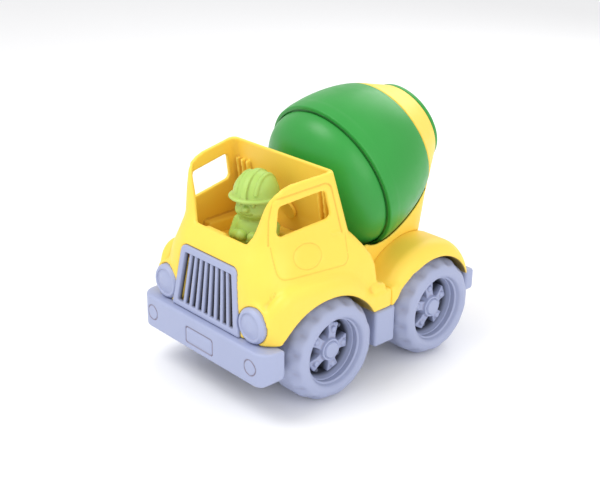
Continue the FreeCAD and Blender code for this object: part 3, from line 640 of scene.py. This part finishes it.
def cab_near(x, y, z):
    """True beside the door's marks, where the mesh has to be finer."""
    ax = np.abs(x)
    upper, lower, badge, handle = door_marks(cab_run(ax, y, z), z)
    marked = (np.abs(upper) < 2.8) & (z > BELT_Z - 1)
    marked |= (np.abs(lower) < 2.2) & (z < BELT_Z + 3)
    marked |= (np.abs(badge) < 2.4) | (handle < 3.0)
    return marked & (ax > 30) & (np.abs(cab_outside(ax, y, z)) < 1.0)


# ---------- Grille, headlights and bumper ----------
LAMP_X, LAMP_Z = [abs(value) for value in middle("headlight_right")[::2]]
LAMP_R = (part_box("headlight_right")[1].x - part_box("headlight_right")[0].x) / MM / 2
LAMP_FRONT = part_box("headlight_right")[0].y / MM
LAMP_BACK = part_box("headlight_right")[1].y / MM
# The grille's face and its foot, as (x, height up the lean).
GRILLE_LINE = [(-33.2, 0), (33.2, 0), (26.8, GRILLE_HEIGHT), (-26.8, GRILLE_HEIGHT)]
GRILLE_OPENING = [(-28.0, 3.6), (28.0, 3.6), (22.9, 37.4), (-22.9, 37.4)]
GRILLE_BARS = 8


def grille_coords(y, z):
    """Depth behind the grille's face and height up it."""
    dy, dz = y - GRILLE_FRONT, z - GRILLE_FOOT
    c, s = math.cos(GRILLE_LEAN), math.sin(GRILLE_LEAN)
    return dy * c - dz * s, dy * s + dz * c


def grille_block(x, y, z, gap):
    """The recess that the grille sits in, gap wider than the grille all round."""
    depth, up = grille_coords(y, z)
    face = outline(x, up, GRILLE_LINE, 4.5) - gap
    foot = outline(x, up, [(-33.2, -gap), (33.2, -gap), (31.6, 12), (-31.6, 12)]) - gap
    face = np.minimum(face, foot)
    return np.maximum(face, np.maximum(-gap - depth, depth - GRILLE_DEPTH - gap))


def grille_field(x, y, z):
    """Frame and upright bars of the radiator grille."""
    depth, up = grille_coords(y, z)
    face = outline(x, up, GRILLE_LINE, 4.5)
    face = np.minimum(face, outline(x, up, [(-33.2, 0), (33.2, 0), (31.6, 12), (-31.6, 12)]))
    block = round_max(face, np.maximum(-depth, depth - GRILLE_DEPTH), 1.1)
    opening = outline(x, up, GRILLE_OPENING, 1.2)
    block = cut(block, opening, 0.7)
    lean = (28.0 - 22.9) / 33.8
    half = 28.0 - lean * (up - 3.6)
    pitch = 2 * half / (GRILLE_BARS + 1)
    across = np.abs(np.mod(x + half + pitch / 2, pitch) - pitch / 2)
    bar = round_max(across - 1.25, 0.8 - depth, 0.9)
    ends = np.maximum(opening - 1.5, np.abs(x) - half + 2.2)
    bar = np.maximum(np.maximum(bar, depth - GRILLE_DEPTH), ends)
    whole = soft_min(block, bar, 0.5)
    pocket = np.maximum(np.hypot(np.abs(x) - LAMP_X, z - LAMP_Z) - LAMP_R - 0.2, y - LAMP_BACK)
    return np.maximum(cut(whole, pocket, 0.3), GRILLE_FOOT - 0.2 - z)


def lamp_profile():
    """Lens, bead and barrel of a headlight as (radius, height) from its back."""
    depth, r = LAMP_BACK - LAMP_FRONT, LAMP_R
    return eased([
        (0, 0), (r, 0, 0.3), (r, depth - 2.2, 1.0), (r - 1.6, depth - 0.2, 0.8),
        (r - 2.9, depth - 0.2, 0.5), (r - 3.3, depth - 1.0, 0.4), (r - 5.0, depth - 0.75, 1.0),
        (r * 0.3, depth - 0.15, 2.0), (0, depth - 0.1),
    ])


BUMPER_LOW = [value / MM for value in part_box("front_bumper")[0]]
BUMPER_HIGH = [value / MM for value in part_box("front_bumper")[1]]
PLATE_LINE = [(-13.4, 30.2), (13.4, 30.2), (13.4, 41.0), (-13.4, 41.0)]


def bumper_marks(x, z):
    """Distances to the line round the plate and to the round marks."""
    return outline(x, z, PLATE_LINE, 1.8), np.hypot(np.abs(x) - 49.2, z - 37.3) - 5.0


def bumper_field(x, y, z):
    """The bumper: a hollow bar with round ends and seats for the lamps."""
    low, high = BUMPER_LOW, BUMPER_HIGH
    plan = round_max(np.abs(x) - high[0], low[1] - y, 11.0)
    plan = np.maximum(plan, y - high[1])
    sides = round_max(np.abs(x) - high[0], low[2] - z, 8.0)
    block = soft_max(round_max(plan, z - high[2], 1.4), sides, 0.8)
    block = round_max(block, low[2] - z, 1.6)
    hollow = round_box(x, y, z, (-HALF + 7, low[1] + 6, low[2] + 4), (HALF - 7, 20, high[2] - 4), 1.0)
    block = cut(block, hollow, 0.6)
    from_lamp = np.hypot(np.abs(x) - LAMP_X, z - LAMP_Z) - LAMP_R
    pocket = np.maximum(from_lamp - 0.2, LAMP_FRONT - 0.2 - y)
    return cut(block, pocket, 0.5)


def bumper_detail(x, y, z):
    """The bumper with a blank plate outline and two round marks."""
    facing = y < BUMPER_LOW[1] + 5.5
    plate, mark = bumper_marks(x, z)
    block = bumper_field(x, y, z) + groove(plate, 0.7, 1.0) * facing
    block = block - 0.35 * np.clip((-plate - 1.2) / 0.8, 0.0, 1.0) * facing
    return block + groove(mark, 0.6, 0.8) * facing


def bumper_near(x, y, z):
    plate, mark = bumper_marks(x, z)
    return ((np.abs(plate) < 1.8) | (np.abs(mark) < 1.8)) & (y < BUMPER_LOW[1] + 5.5)


# ---------- Chassis ----------


def chassis_field(x, y, z):
    """Deck with four rails, the side tanks and the tail bar."""
    ax = np.abs(x)
    body = round_box(x, y, z, (-24.5, -84, 43.0), (24.5, 90, 49.0), 0.5)
    for left in (-24.5, -9.5, 6.0, 21.0):
        rail = round_max(outline(y, z, [(-78, 44), (-72, 25), (78, 25), (86, 44)], 1.0),
                         np.abs(x - left - 1.75) - 1.75, 0.5)
        body = soft_min(body, rail, 1.0)
    tank = round_box(ax, y, z, (-20, -1.8, 21.5), (60.0, 16.5, 47.0), 2.2)
    tank_core = np.maximum(np.maximum(ax - 21.0, z - 43.0), np.abs(y - 7) - 30)
    body = soft_min(body, np.maximum(tank, -tank_core), 1.0)
    tail = round_box(x, y, z, (-58, TAIL_Y - 9.0, 33.5), (58, TAIL_Y, 49.0), 2.4)
    body = soft_min(body, tail, 1.5)
    for axle_y in (FRONT_AXLE_Y, REAR_AXLE_Y):
        body = cut(body, np.hypot(y - axle_y, z - WHEEL_R) - 3.05, 0.4)
    return body


# ---------- Rear bed and fenders, and the drum's saddle and collar ----------
BED_FRONT, BED_TOP, INNER_X = CAB_BACK + 0.2, 64.0, 25.4
FENDER_INNER = 35.0


def fender_crest(y, z):
    """Distance above the rear fender's crest, which is lower towards the back."""
    turn = np.degrees(np.arctan2(z - REAR_ARCH_Z, y - REAR_ARCH_Y))
    thinning = 6.5 * np.clip((90 - turn) / 70, 0.0, 1.3) ** 1.5
    return np.hypot(y - REAR_ARCH_Y, z - REAR_ARCH_Z) - 48.8 + thinning


def rear_field(x, y, z):
    """The bed, its arched fenders and the ends of the running boards."""
    ax = np.abs(x)
    crest = fender_crest(y, z)
    fender = round_max(crest, ax - HALF, 10.5)
    fender = soft_max(fender, FENDER_INNER - ax, 1.6)
    strip = np.maximum(crest + 6.0, np.maximum(ax - FENDER_INNER - 3, INNER_X - ax))
    bed = round_box(x, y, z, (-INNER_X - 1, BED_FRONT, 40), (INNER_X + 1, 91.0, BED_TOP), 1.2)
    board = round_box(ax, y, z, (20, BED_FRONT - 12, 40), (HALF - 0.3, BED_FRONT + 6, 61.3), 1.8)
    body = soft_min(soft_min(fender, strip, 1.5), bed, 2.0)
    body = soft_min(body, board, 5.0)
    body = np.maximum(body, BED_FRONT - 0.1 - y)
    body = round_max(body, y - 92.6, 0.8)
    body = round_max(body, BODY_BOTTOM - 0.45 - z, 0.8)
    tunnel = np.hypot(y - REAR_ARCH_Y + 0.2, z - REAR_ARCH_Z) - REAR_ARCH_R
    flare = outline(y, z, [
        (9.0, 40), (10.6, 49), (16.4, 55), (22.0, 60), (29.5, 65.3), (51, 68), (51, 40)], 1.0)
    body = cut(body, np.maximum(soft_min(tunnel, flare, 2.0), ARCH_DEPTH_FROM - ax), 1.3)
    hollow = np.maximum(np.maximum(ax - INNER_X + WALL, z - BED_TOP + WALL),
                        np.maximum(BED_FRONT + WALL - y, y - 91 + WALL))
    body = cut(body, hollow, 0.6)
    radial, along = drum_coords(x, y, z)
    return cut(body, drum_room(radial, along), 0.8)


def drum_room(radial, along):
    """The space that the turning drum needs."""
    barrel = np.interp(along, BARREL_S, BARREL_R) + 0.7
    dome = np.hypot(radial / 53.4, along / 31.5) * 40 - 40
    return np.where(along > 0, np.maximum(radial - barrel, along - 49.0), dome)


# The collar's two ends: outer radius and distance behind the drum's seam.
COLLAR = [(44.2, 49.2), (30.8, 71.4)]
SADDLE_FRONT = 5.6


def support_field(x, y, z):
    """Saddle cheeks round the drum's underside, and the collar round its neck."""
    ax = np.abs(x)
    radial, along = drum_coords(x, y, z)
    (big, front), (small, rear) = COLLAR
    slope = (big - small) / (rear - front)
    steep = 1.0 / math.hypot(1.0, slope)
    outside = (radial - big + slope * (along - front)) * steep
    collar = round_max(outside, np.maximum(front - along, along - rear), 0.7)
    bore = (radial - (big - WALL) + slope * (along - front)) * steep
    side = outline(y, z, [
        (SADDLE_FRONT, 60), (SADDLE_FRONT, 79.5), (62, 116), (67.0, 112.8), (77.2, 104), (69.2, 60)])
    plan = round_max(ax - 37.0, y - 69.2 - (z - 60) * 8.0 / 44.0, 19.0)
    cheeks = round_max(plan, side, 0.8)
    inner_plan = round_max(ax - 34.4, y - 66.6 - (z - 60) * 8.0 / 44.0, 16.4)
    cheeks = cut(cheeks, inner_plan, 0.6)
    body = soft_min(collar, cheeks, 3.0)
    body = cut(body, np.maximum(bore, np.abs(along - 60) - 14), 0.6)
    body = cut(body, drum_room(radial, along), 0.6)
    crest = fender_crest(y, z)
    fender = np.maximum(crest, FENDER_INNER - ax)
    strip = np.maximum(crest + 6.0, INNER_X - ax)
    taken = np.minimum(np.minimum(fender, strip), z - BED_TOP)
    return np.maximum(body, -taken)


# ---------- Drum ----------
SEAM_R = 53.0
# Radius of the barrel at distances behind the seam, smoothed with one curve.
BARREL = np.array(((0, 53.0), (10, 53.5), (20, 52.6), (30, 50.8), (40, 48.0), (48.8, 44.4)))
BARREL_S = np.linspace(0, 48.8, 60)
BARREL_R = np.polyval(np.polyfit(BARREL[:, 0], BARREL[:, 1], 4), BARREL_S)


def rear_shell_profile():
    """Barrel with a stepped band at the seam, and the neck inside the collar."""
    lip = [(SEAM_R - 0.3, 0.7, 0.25), (SEAM_R + 0.25, 1.1, 0.3)]
    barrel = []
    for s, r in zip(BARREL_S[2:-1], BARREL_R[2:-1]):
        band = 0.22 * (1 - 1 / (1 + math.exp(-(s - 8.4) / 0.45)))
        barrel.append((r + band - 0.1, s, 0))
    big, small = COLLAR[0][0] - WALL - 0.45, COLLAR[1][0] - WALL - 0.45
    tail = [(44.0, 48.8, 0.5), (big, 49.0, 0.3), (small, 71.3, 0.4), (small - 2.0, 71.3, 0.4),
            (big - 2.2, 47.4, 1.5)]
    inside = [(r - 2.2, s, 0) for s, r in list(zip(BARREL_S, BARREL_R))[-6::-6]]
    return eased(lip + barrel + tail + inside + [(SEAM_R - 2.2, 0.7, 0.3)])


def front_shell_profile():
    """Dome that faces the cab, with the boss for the front pin."""
    outer, inner, count = [], [], 40
    for k in range(count + 1):
        turn = math.pi / 2 * (1 - k / count)
        outer.append((max(50.0 * math.cos(turn), 0.0), -28.0 * math.sin(turn), 0))
        inner.append((47.8 * math.cos(turn), -25.8 * math.sin(turn), 0))
    start = next(i for i, p in enumerate(outer) if p[0] > 6.6)
    boss = [(4.05, -19.6, 0.1), (4.05, -26.6, 0.3), (6.6, outer[start][1] - 0.1, 0.3)]
    seam = [(50.0, -0.5, 0.3), (49.2, -0.2, 0.2), (49.2, 1.0, 0.2), (50.7, 1.6, 0.2), (50.7, 5.0, 0.4),
            (48.2, 5.0, 0.4)]
    back = [p for p in inner[::-1] if p[0] > 8.0]
    socket = [(6.6, -24.0, 0.4), (6.6, -18.0, 0.6), (0, -18.0), (0, -19.6)]
    return eased(boss + outer[start:-1] + seam + back + socket)


def mouth_profile():
    """Ring that closes the neck behind the collar, round the open mouth."""
    neck, outer, end = 27.8, COLLAR[1][0] - 0.3, 71.8 + 3.2
    return eased([(22.0, 71.42, 0.3), (neck, 71.42, 0.2), (neck, 71.8, 0.2), (outer, 71.8, 0.5),
                  (outer - 0.7, end, 1.4), (23.2, end, 1.2), (22.0, end - 2.0, 0.8)])


# ---------- Wheels ----------
LUGS = 15


def tyre_profile():
    """Outline of a tyre, with its inner side first."""
    r, outer, inner = WHEEL_R, TYRE_OUTER, TYRE_INNER
    return eased([
        (24.0, inner + 2, 0.6), (25.0, inner, 0.6), (r - 6.0, inner, 6.0), (r, inner + 7.0, 8.0),
        (r, (inner + outer) / 2), (r, outer - 8.5, 9.0), (r - 4.2, outer - 1.6, 6.0),
        (r - 8.6, outer, 3.0), (r - 11.4, outer - 1.2, 3.0), (21.6, outer - 3.9, 0.8),
        (21.2, outer - 4.1, 0.5), (20.6, outer - 4.6, 0.6), (20.6, outer - 8, 0.3), (24.0, outer - 11, 0.5),
    ], steps=9)


def tyre_warp(radius, height, turn):
    """Broad scallops worn into both shoulders of the tread."""
    r = WHEEL_R
    shoulder_out = np.exp(-((height - (TYRE_OUTER - 6.8)) / 4.2) ** 2)
    shoulder_in = np.exp(-((height - (TYRE_INNER + 5.8)) / 4.2) ** 2)
    near_tread = np.clip((radius - (r - 8.5)) / 5.0, 0.0, 1.0)
    scoop = np.clip(0.5 + 0.5 * np.cos(LUGS * turn), 0.0, 1.0) ** 1.6
    return radius - 1.9 * scoop * near_tread * np.maximum(shoulder_out, shoulder_in), height


def hub_field(x, y, z):
    """Rim barrel, back plate, five flared spokes with round lugs, and the boss. Local Z points outwards."""
    r = np.hypot(x, y)
    outer, inner = TYRE_OUTER, TYRE_INNER
    lip = 20.45
    well = outer - 8.0
    wall_r = lip - 0.2 - 2.0 * np.clip((well - z) / 9.0, 0.0, 1.0)
    barrel = np.maximum(np.maximum(r - 23.8, wall_r - r), np.maximum(z - well, inner + 3 - z))
    plate = np.maximum(r - 23.0, np.abs(z - (outer - 27.0)) - 1.6)
    body = soft_min(barrel, plate, 2.0)
    boss = round_max(r - 9.6 + 2.4 * np.clip((z - (outer - 17)) / 10.0, 0, 1), z - (outer - 6.2), 0.6)
    boss = np.maximum(boss, outer - 28 - z)
    body = soft_min(body, boss, 1.0)
    turn = np.arctan2(y, x)
    step = 2 * math.pi / 5
    local = np.mod(turn + step / 2, step) - step / 2
    u, v = r * np.cos(local), r * np.sin(local)
    arm = outline(u, v, [(4, -3.1), (10.5, -3.1), (16.0, -4.6), (16.6, -3.9), (16.6, 3.9), (16.0, 4.6),
                         (10.5, 3.1), (4, 3.1)], 0.4)
    arm = round_max(arm, z - (outer - 8.2) + 0.22 * np.maximum(u - 8, 0), 0.5)
    arm = np.maximum(arm, outer - 27 - z)
    body = soft_min(body, arm, 0.6)
    lug = round_max(np.hypot(u - 12.6, v) - 1.9, z - (outer - 8.0), 0.7)
    body = soft_min(body, np.maximum(lug, outer - 15 - z), 0.5)
    stud_turn = np.mod(turn, step) - step / 2
    stud = np.hypot(r * np.cos(stud_turn) - 16.6, r * np.sin(stud_turn)) - 1.4
    body = soft_min(body, np.maximum(round_max(stud, z - (outer - 13.5), 0.5), outer - 26 - z), 0.5)
    seat = np.maximum(r - 5.7, outer - 12 - z)
    return cut(body, np.minimum(seat, r - 3.05), 0.3)


def cap_profile():
    top = TYRE_OUTER - 5.2
    return eased([(0, top - 6.3), (5.6, top - 6.3, 0.2), (5.6, top - 1.0, 0.6), (4.9, top, 0.5), (0, top)])


# ---------- Driver: a plain rounded figure with a safety helmet ----------
DRIVER_Y, DRIVER_FOOT = -51.0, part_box("driver_figure")[0].z / MM
DRIVER_TURN = math.radians(20)


def ball(x, y, z, centre, radii):
    """An ellipsoid."""
    q = np.sqrt(((x - centre[0]) / radii[0]) ** 2 + ((y - centre[1]) / radii[1]) ** 2
                + ((z - centre[2]) / radii[2]) ** 2)
    return (q - 1.0) * min(radii)


def rod(x, y, z, a, b, r):
    """A round bar from a to b with ball ends."""
    a, b = np.array(a, float), np.array(b, float)
    d = b - a
    t = np.clip(((x - a[0]) * d[0] + (y - a[1]) * d[1] + (z - a[2]) * d[2]) / (d @ d), 0.0, 1.0)
    return np.sqrt((x - a[0] - t * d[0]) ** 2 + (y - a[1] - t * d[1]) ** 2 + (z - a[2] - t * d[2]) ** 2) - r


def driver_field(wx, wy, wz):
    """The figure, drawn in its own frame: it faces local -Y and is turned a little."""
    c, s = math.cos(DRIVER_TURN), math.sin(DRIVER_TURN)
    dx, dy = wx, wy - DRIVER_Y
    x, y, z = (dx * c + dy * s) / 1.07, (-dx * s + dy * c) / 1.04, wz - DRIVER_FOOT
    ax = np.abs(x)
    chest = ball(x, y, z, (0, 0.5, 19), (12.6, 9.4, 7))
    body = soft_min(ball(x, y, z, (0, 0, 9), (13.6, 11.2, 15)), chest, 3.0)
    sleeve = rod(ax, y, z, (11.6, 0.5, 20.0), (12.6, -3.5, 12.0), 3.7)
    forearm = rod(ax, y, z, (12.2, -4.0, 11.8), (4.4, -10.8, 15.4), 3.2)
    hand = ball(ax, y, z, (3.6, -11.2, 15.2), (3.2, 3.0, 3.2))
    body = soft_min(soft_min(body, sleeve, 1.2), soft_min(forearm, hand, 0.8), 0.8)
    collar = rod(ax, y, z, (0, -5.0, 24.0), (7.5, -3.0, 24.6), 2.2)
    body = soft_min(body, collar, 1.0)
    buttons = ball(x, y, np.abs(z - 9.2) + 9.2, (0, -11.0, 11.6), (0.9, 0.9, 0.9))
    body = soft_min(body, buttons, 0.4)
    head = ball(x, y, z, (0, -0.5, 34.0), (11.6, 11.2, 11.4))
    cheeks = ball(ax, y, z, (5.0, -7.6, 31.0), (4.4, 4.0, 3.8))
    nose = ball(x, y, z, (0, -12.2, 33.4), (2.2, 2.2, 2.0))
    ears = ball(ax, y, z, (11.6, 0.6, 33.8), (1.9, 2.8, 3.6))
    head = soft_min(soft_min(head, cheeks, 2.0), soft_min(nose, ears, 0.1), 0.8)
    eyes = ball(ax, y, z, (4.2, -11.2, 36.4), (1.25, 1.0, 1.5))
    head = soft_min(head, eyes, 0.3)
    smile = np.hypot(np.hypot(x, z - 33.4) - 5.2, np.maximum(y + 6.0, 0.0))
    smile = np.where((z < 30.6) & (y < 0) & (ax < 4.4), smile, 9.0)
    head = head + 0.6 * np.exp(-(smile / 0.65) ** 2)
    body = soft_min(body, head, 1.2)
    dome = ball(x, y, z, (0, 0.2, 40.4), (13.6, 14.2, 14.6))
    dome = round_max(dome, 38.6 - z, 0.8)
    brim = ball(x, y, z, (0, -1.6, 39.6), (15.2, 15.9, 40.0))
    brim = round_max(brim, np.abs(z - 39.4 + 0.05 * (y + 10)) - 1.15, 1.0)
    ridge = np.maximum(np.abs(np.hypot(y * 0.97, z - 40.4) - 14.3) - 0.9, np.maximum(ax - 1.6, 41.0 - z))
    side_ridge = np.maximum(np.abs(ax - 6.6) - 0.8, np.maximum(dome - 0.7, 43.0 - z))
    hat = soft_min(soft_min(dome, brim, 1.4), soft_min(ridge, side_ridge, 0.2), 0.7)
    body = soft_min(body, hat, 0.5)
    return round_max(body, -z, 1.0)


# ---------- Cab floor ----------


def floor_field(x, y, z):
    """Floor plate with a dash cowl ahead of the driver and a low seat block behind."""
    room = cab_plan(np.abs(x), y, z, WALL + 0.4)
    plate = np.maximum(np.abs(z - FLOOR_Z - 1.1) - 1.1, np.abs(y + 52.2) - 31.6)
    cowl = round_max(outline(y, z, [(-82, 80), (-66, 80), (-69.5, 96), (-73.5, 101.2), (-79, 101.2)], 1.5),
                     np.abs(x + 10.5) - 9.5, 1.6)
    cluster = round_max(outline(y, z, [(-82, 80), (-66, 80), (-68, 92), (-72, 95.5), (-82, 95.5)], 1.2),
                        np.abs(x) - 22.0, 1.4)
    seat = round_box(x, y, z, (-22, -33.4, 79), (22, -24.6, 93.2), 2.4)
    body = soft_min(soft_min(plate, cluster, 1.5), soft_min(cowl, seat, 0.5), 1.2)
    return np.maximum(np.maximum(body, room), FLOOR_Z - z)


# ---------- The pieces ----------


def build_bodywork():
    moulded("cab_body", "cab_shell", cab_field, 0.95, YELLOW,
            detail=cab_detail, near=cab_near)
    moulded("cab_floor_tray", "cab_floor", floor_field, 0.9, YELLOW, top=103.0)
    moulded("rear_bed", "rear_body", rear_field, 0.9, YELLOW)
    moulded("drum_saddle", "drum_support", support_field, 0.85, YELLOW,
            front=SADDLE_FRONT - 1.2)


def build_grey_parts():
    moulded("chassis", "chassis_frame", chassis_field, 1.0, GREY)
    moulded("bumper", "front_bumper", bumper_field, 0.8, GREY,
            detail=bumper_detail, near=bumper_near)
    moulded("grille", "radiator_grille", grille_field, 0.5, GRILLE, grow=0.8)
    lamp = lathe_mesh("headlight", lamp_profile(), 96, closed=False)
    for name, side in SIDES:
        place = Matrix.Translation(Vector((LAMP_X * side, LAMP_BACK, LAMP_Z)) * MM)
        mesh = placed(lamp, place @ Matrix.Rotation(math.radians(90), 4, "X"))
        new_piece(f"lamp_{name}", mesh, "truck", [f"headlight_{name}"], GREY)


def build_drum():
    for name, profile, node in (
        ("drum_barrel", rear_shell_profile(), "drum_rear_shell"),
        ("drum_dome", front_shell_profile(), "drum_front_shell"),
        ("drum_mouth", mouth_profile(), "drum_mouth_ring"),
    ):
        mesh = placed(lathe_mesh(name, profile, 240), drum_matrix())
        new_piece(name, mesh, "drum", [node], GREEN)


def build_wheels():
    tyre = lathe_mesh("tyre", tyre_profile(), LUGS * 16, warp=tyre_warp)
    points, quads = net(hub_field, (-24.8, -24.8, TYRE_INNER + 2), (24.8, 24.8, TYRE_OUTER - 4), 0.62)
    hub = make_mesh("hub", settle(points, hub_field, reach=0.5), quads)
    cap = lathe_mesh("cap", cap_profile(), 64, closed=False)
    for which, axle_y, start in (("front", FRONT_AXLE_Y, 18.0), ("rear", REAR_AXLE_Y, 40.0)):
        for name, side in SIDES:
            place = wheel_matrix(axle_y, side) @ Matrix.Rotation(math.radians(start * side), 4, "Z")
            tag, body = f"{which}_{name}", f"{which}_wheels"
            new_piece(f"tread_{tag}", placed(tyre, place), body, [f"tyre_{tag}"], TYRE)
            new_piece(f"hub_{tag}", placed(hub, place), body, [f"wheel_hub_{tag}"], HUB)
            new_piece(f"cap_{tag}", placed(cap, place), body, [f"hub_cap_{tag}"], GREY)


def build_driver():
    moulded("driver", "driver_figure", driver_field, 0.55, LIME, body="driver")


def dress_cad_nodes():
    """Materials for the small inner CAD pieces that stay as they are."""
    for node, material in (("front_axle", AXLE), ("rear_axle", AXLE), ("drum_pivot_pin", YELLOW),
                           ("body_pegs", GREY)):
        mesh = frame["nodes"][node].data
        mesh.materials.clear()
        mesh.materials.append(material)


# ---------- Stage, lights and camera ----------


def floor_material():
    material = bpy.data.materials.new("pale_floor")
    material.use_nodes = True
    shader = material.node_tree.nodes["Principled BSDF"]
    shader.inputs["Base Color"].default_value = (0.93, 0.93, 0.94, 1)
    shader.inputs["Roughness"].default_value = 0.9
    shader.inputs["Specular IOR Level"].default_value = 0.1
    return material


def build_stage():
    size = 6.0
    mesh = bpy.data.meshes.new("floor")
    corners = [(-size, -size, 0), (size, -size, 0), (size, size, 0), (-size, size, 0)]
    mesh.from_pydata(corners, [], [(0, 1, 2, 3)])
    mesh.materials.append(floor_material())
    floor = bpy.data.objects.new("floor", mesh)
    bpy.context.scene.collection.objects.link(floor)


def area_light(name, place, target, size, power):
    data = bpy.data.lights.new(name, "AREA")
    data.shape, data.size, data.energy = "DISK", size, power
    lamp = bpy.data.objects.new(name, data)
    bpy.context.scene.collection.objects.link(lamp)
    lamp.location = place
    lamp.rotation_mode = "QUATERNION"
    lamp.rotation_quaternion = (Vector(target) - Vector(place)).to_track_quat("-Z", "Y")


def build_lights():
    world = bpy.data.worlds.new("studio")
    bpy.context.scene.world = world
    world.use_nodes = True
    world.node_tree.nodes["Background"].inputs["Color"].default_value = (1.0, 1.0, 1.0, 1)
    world.node_tree.nodes["Background"].inputs["Strength"].default_value = 0.87
    centre = (0, 0, 0.08)
    area_light("key", (-0.25, -0.55, 1.0), centre, 0.6, 4.9)
    area_light("fill", (0.95, -0.25, 0.5), centre, 0.8, 2.9)
    area_light("back", (-0.2, 0.8, 0.7), centre, 0.7, 3.0)
    bpy.context.scene.view_settings.view_transform = "Standard"


def build_camera():
    """Camera at the photograph's viewing angle: place, heading, height angle, roll and lens."""
    azimuth, elevation, roll = math.radians(47.45), math.radians(22.21), math.radians(0.83)
    back = Vector((
        math.sin(azimuth) * math.cos(elevation),
        -math.cos(azimuth) * math.cos(elevation),
        math.sin(elevation),
    ))
    right = (-back).cross(Vector((0, 0, 1))).normalized()
    up = right.cross(-back)
    tilted_right = right * math.cos(roll) + up * math.sin(roll)
    tilted_up = up * math.cos(roll) - right * math.sin(roll)
    data = bpy.data.cameras.new("camera")
    data.lens, data.sensor_width = 65.0, 36.0
    data.clip_start, data.clip_end = 0.05, 20.0
    camera = bpy.data.objects.new("camera", data)
    bpy.context.scene.collection.objects.link(camera)
    matrix = Matrix((tilted_right, tilted_up, back)).transposed().to_4x4()
    matrix.translation = Vector((483.9, -457.8, 349.5)) * MM
    camera.matrix_world = matrix
    bpy.context.scene.camera = camera


build_bodywork()
build_grey_parts()
build_drum()
build_wheels()
build_driver()
dress_cad_nodes()
build_stage()
build_lights()
build_camera()
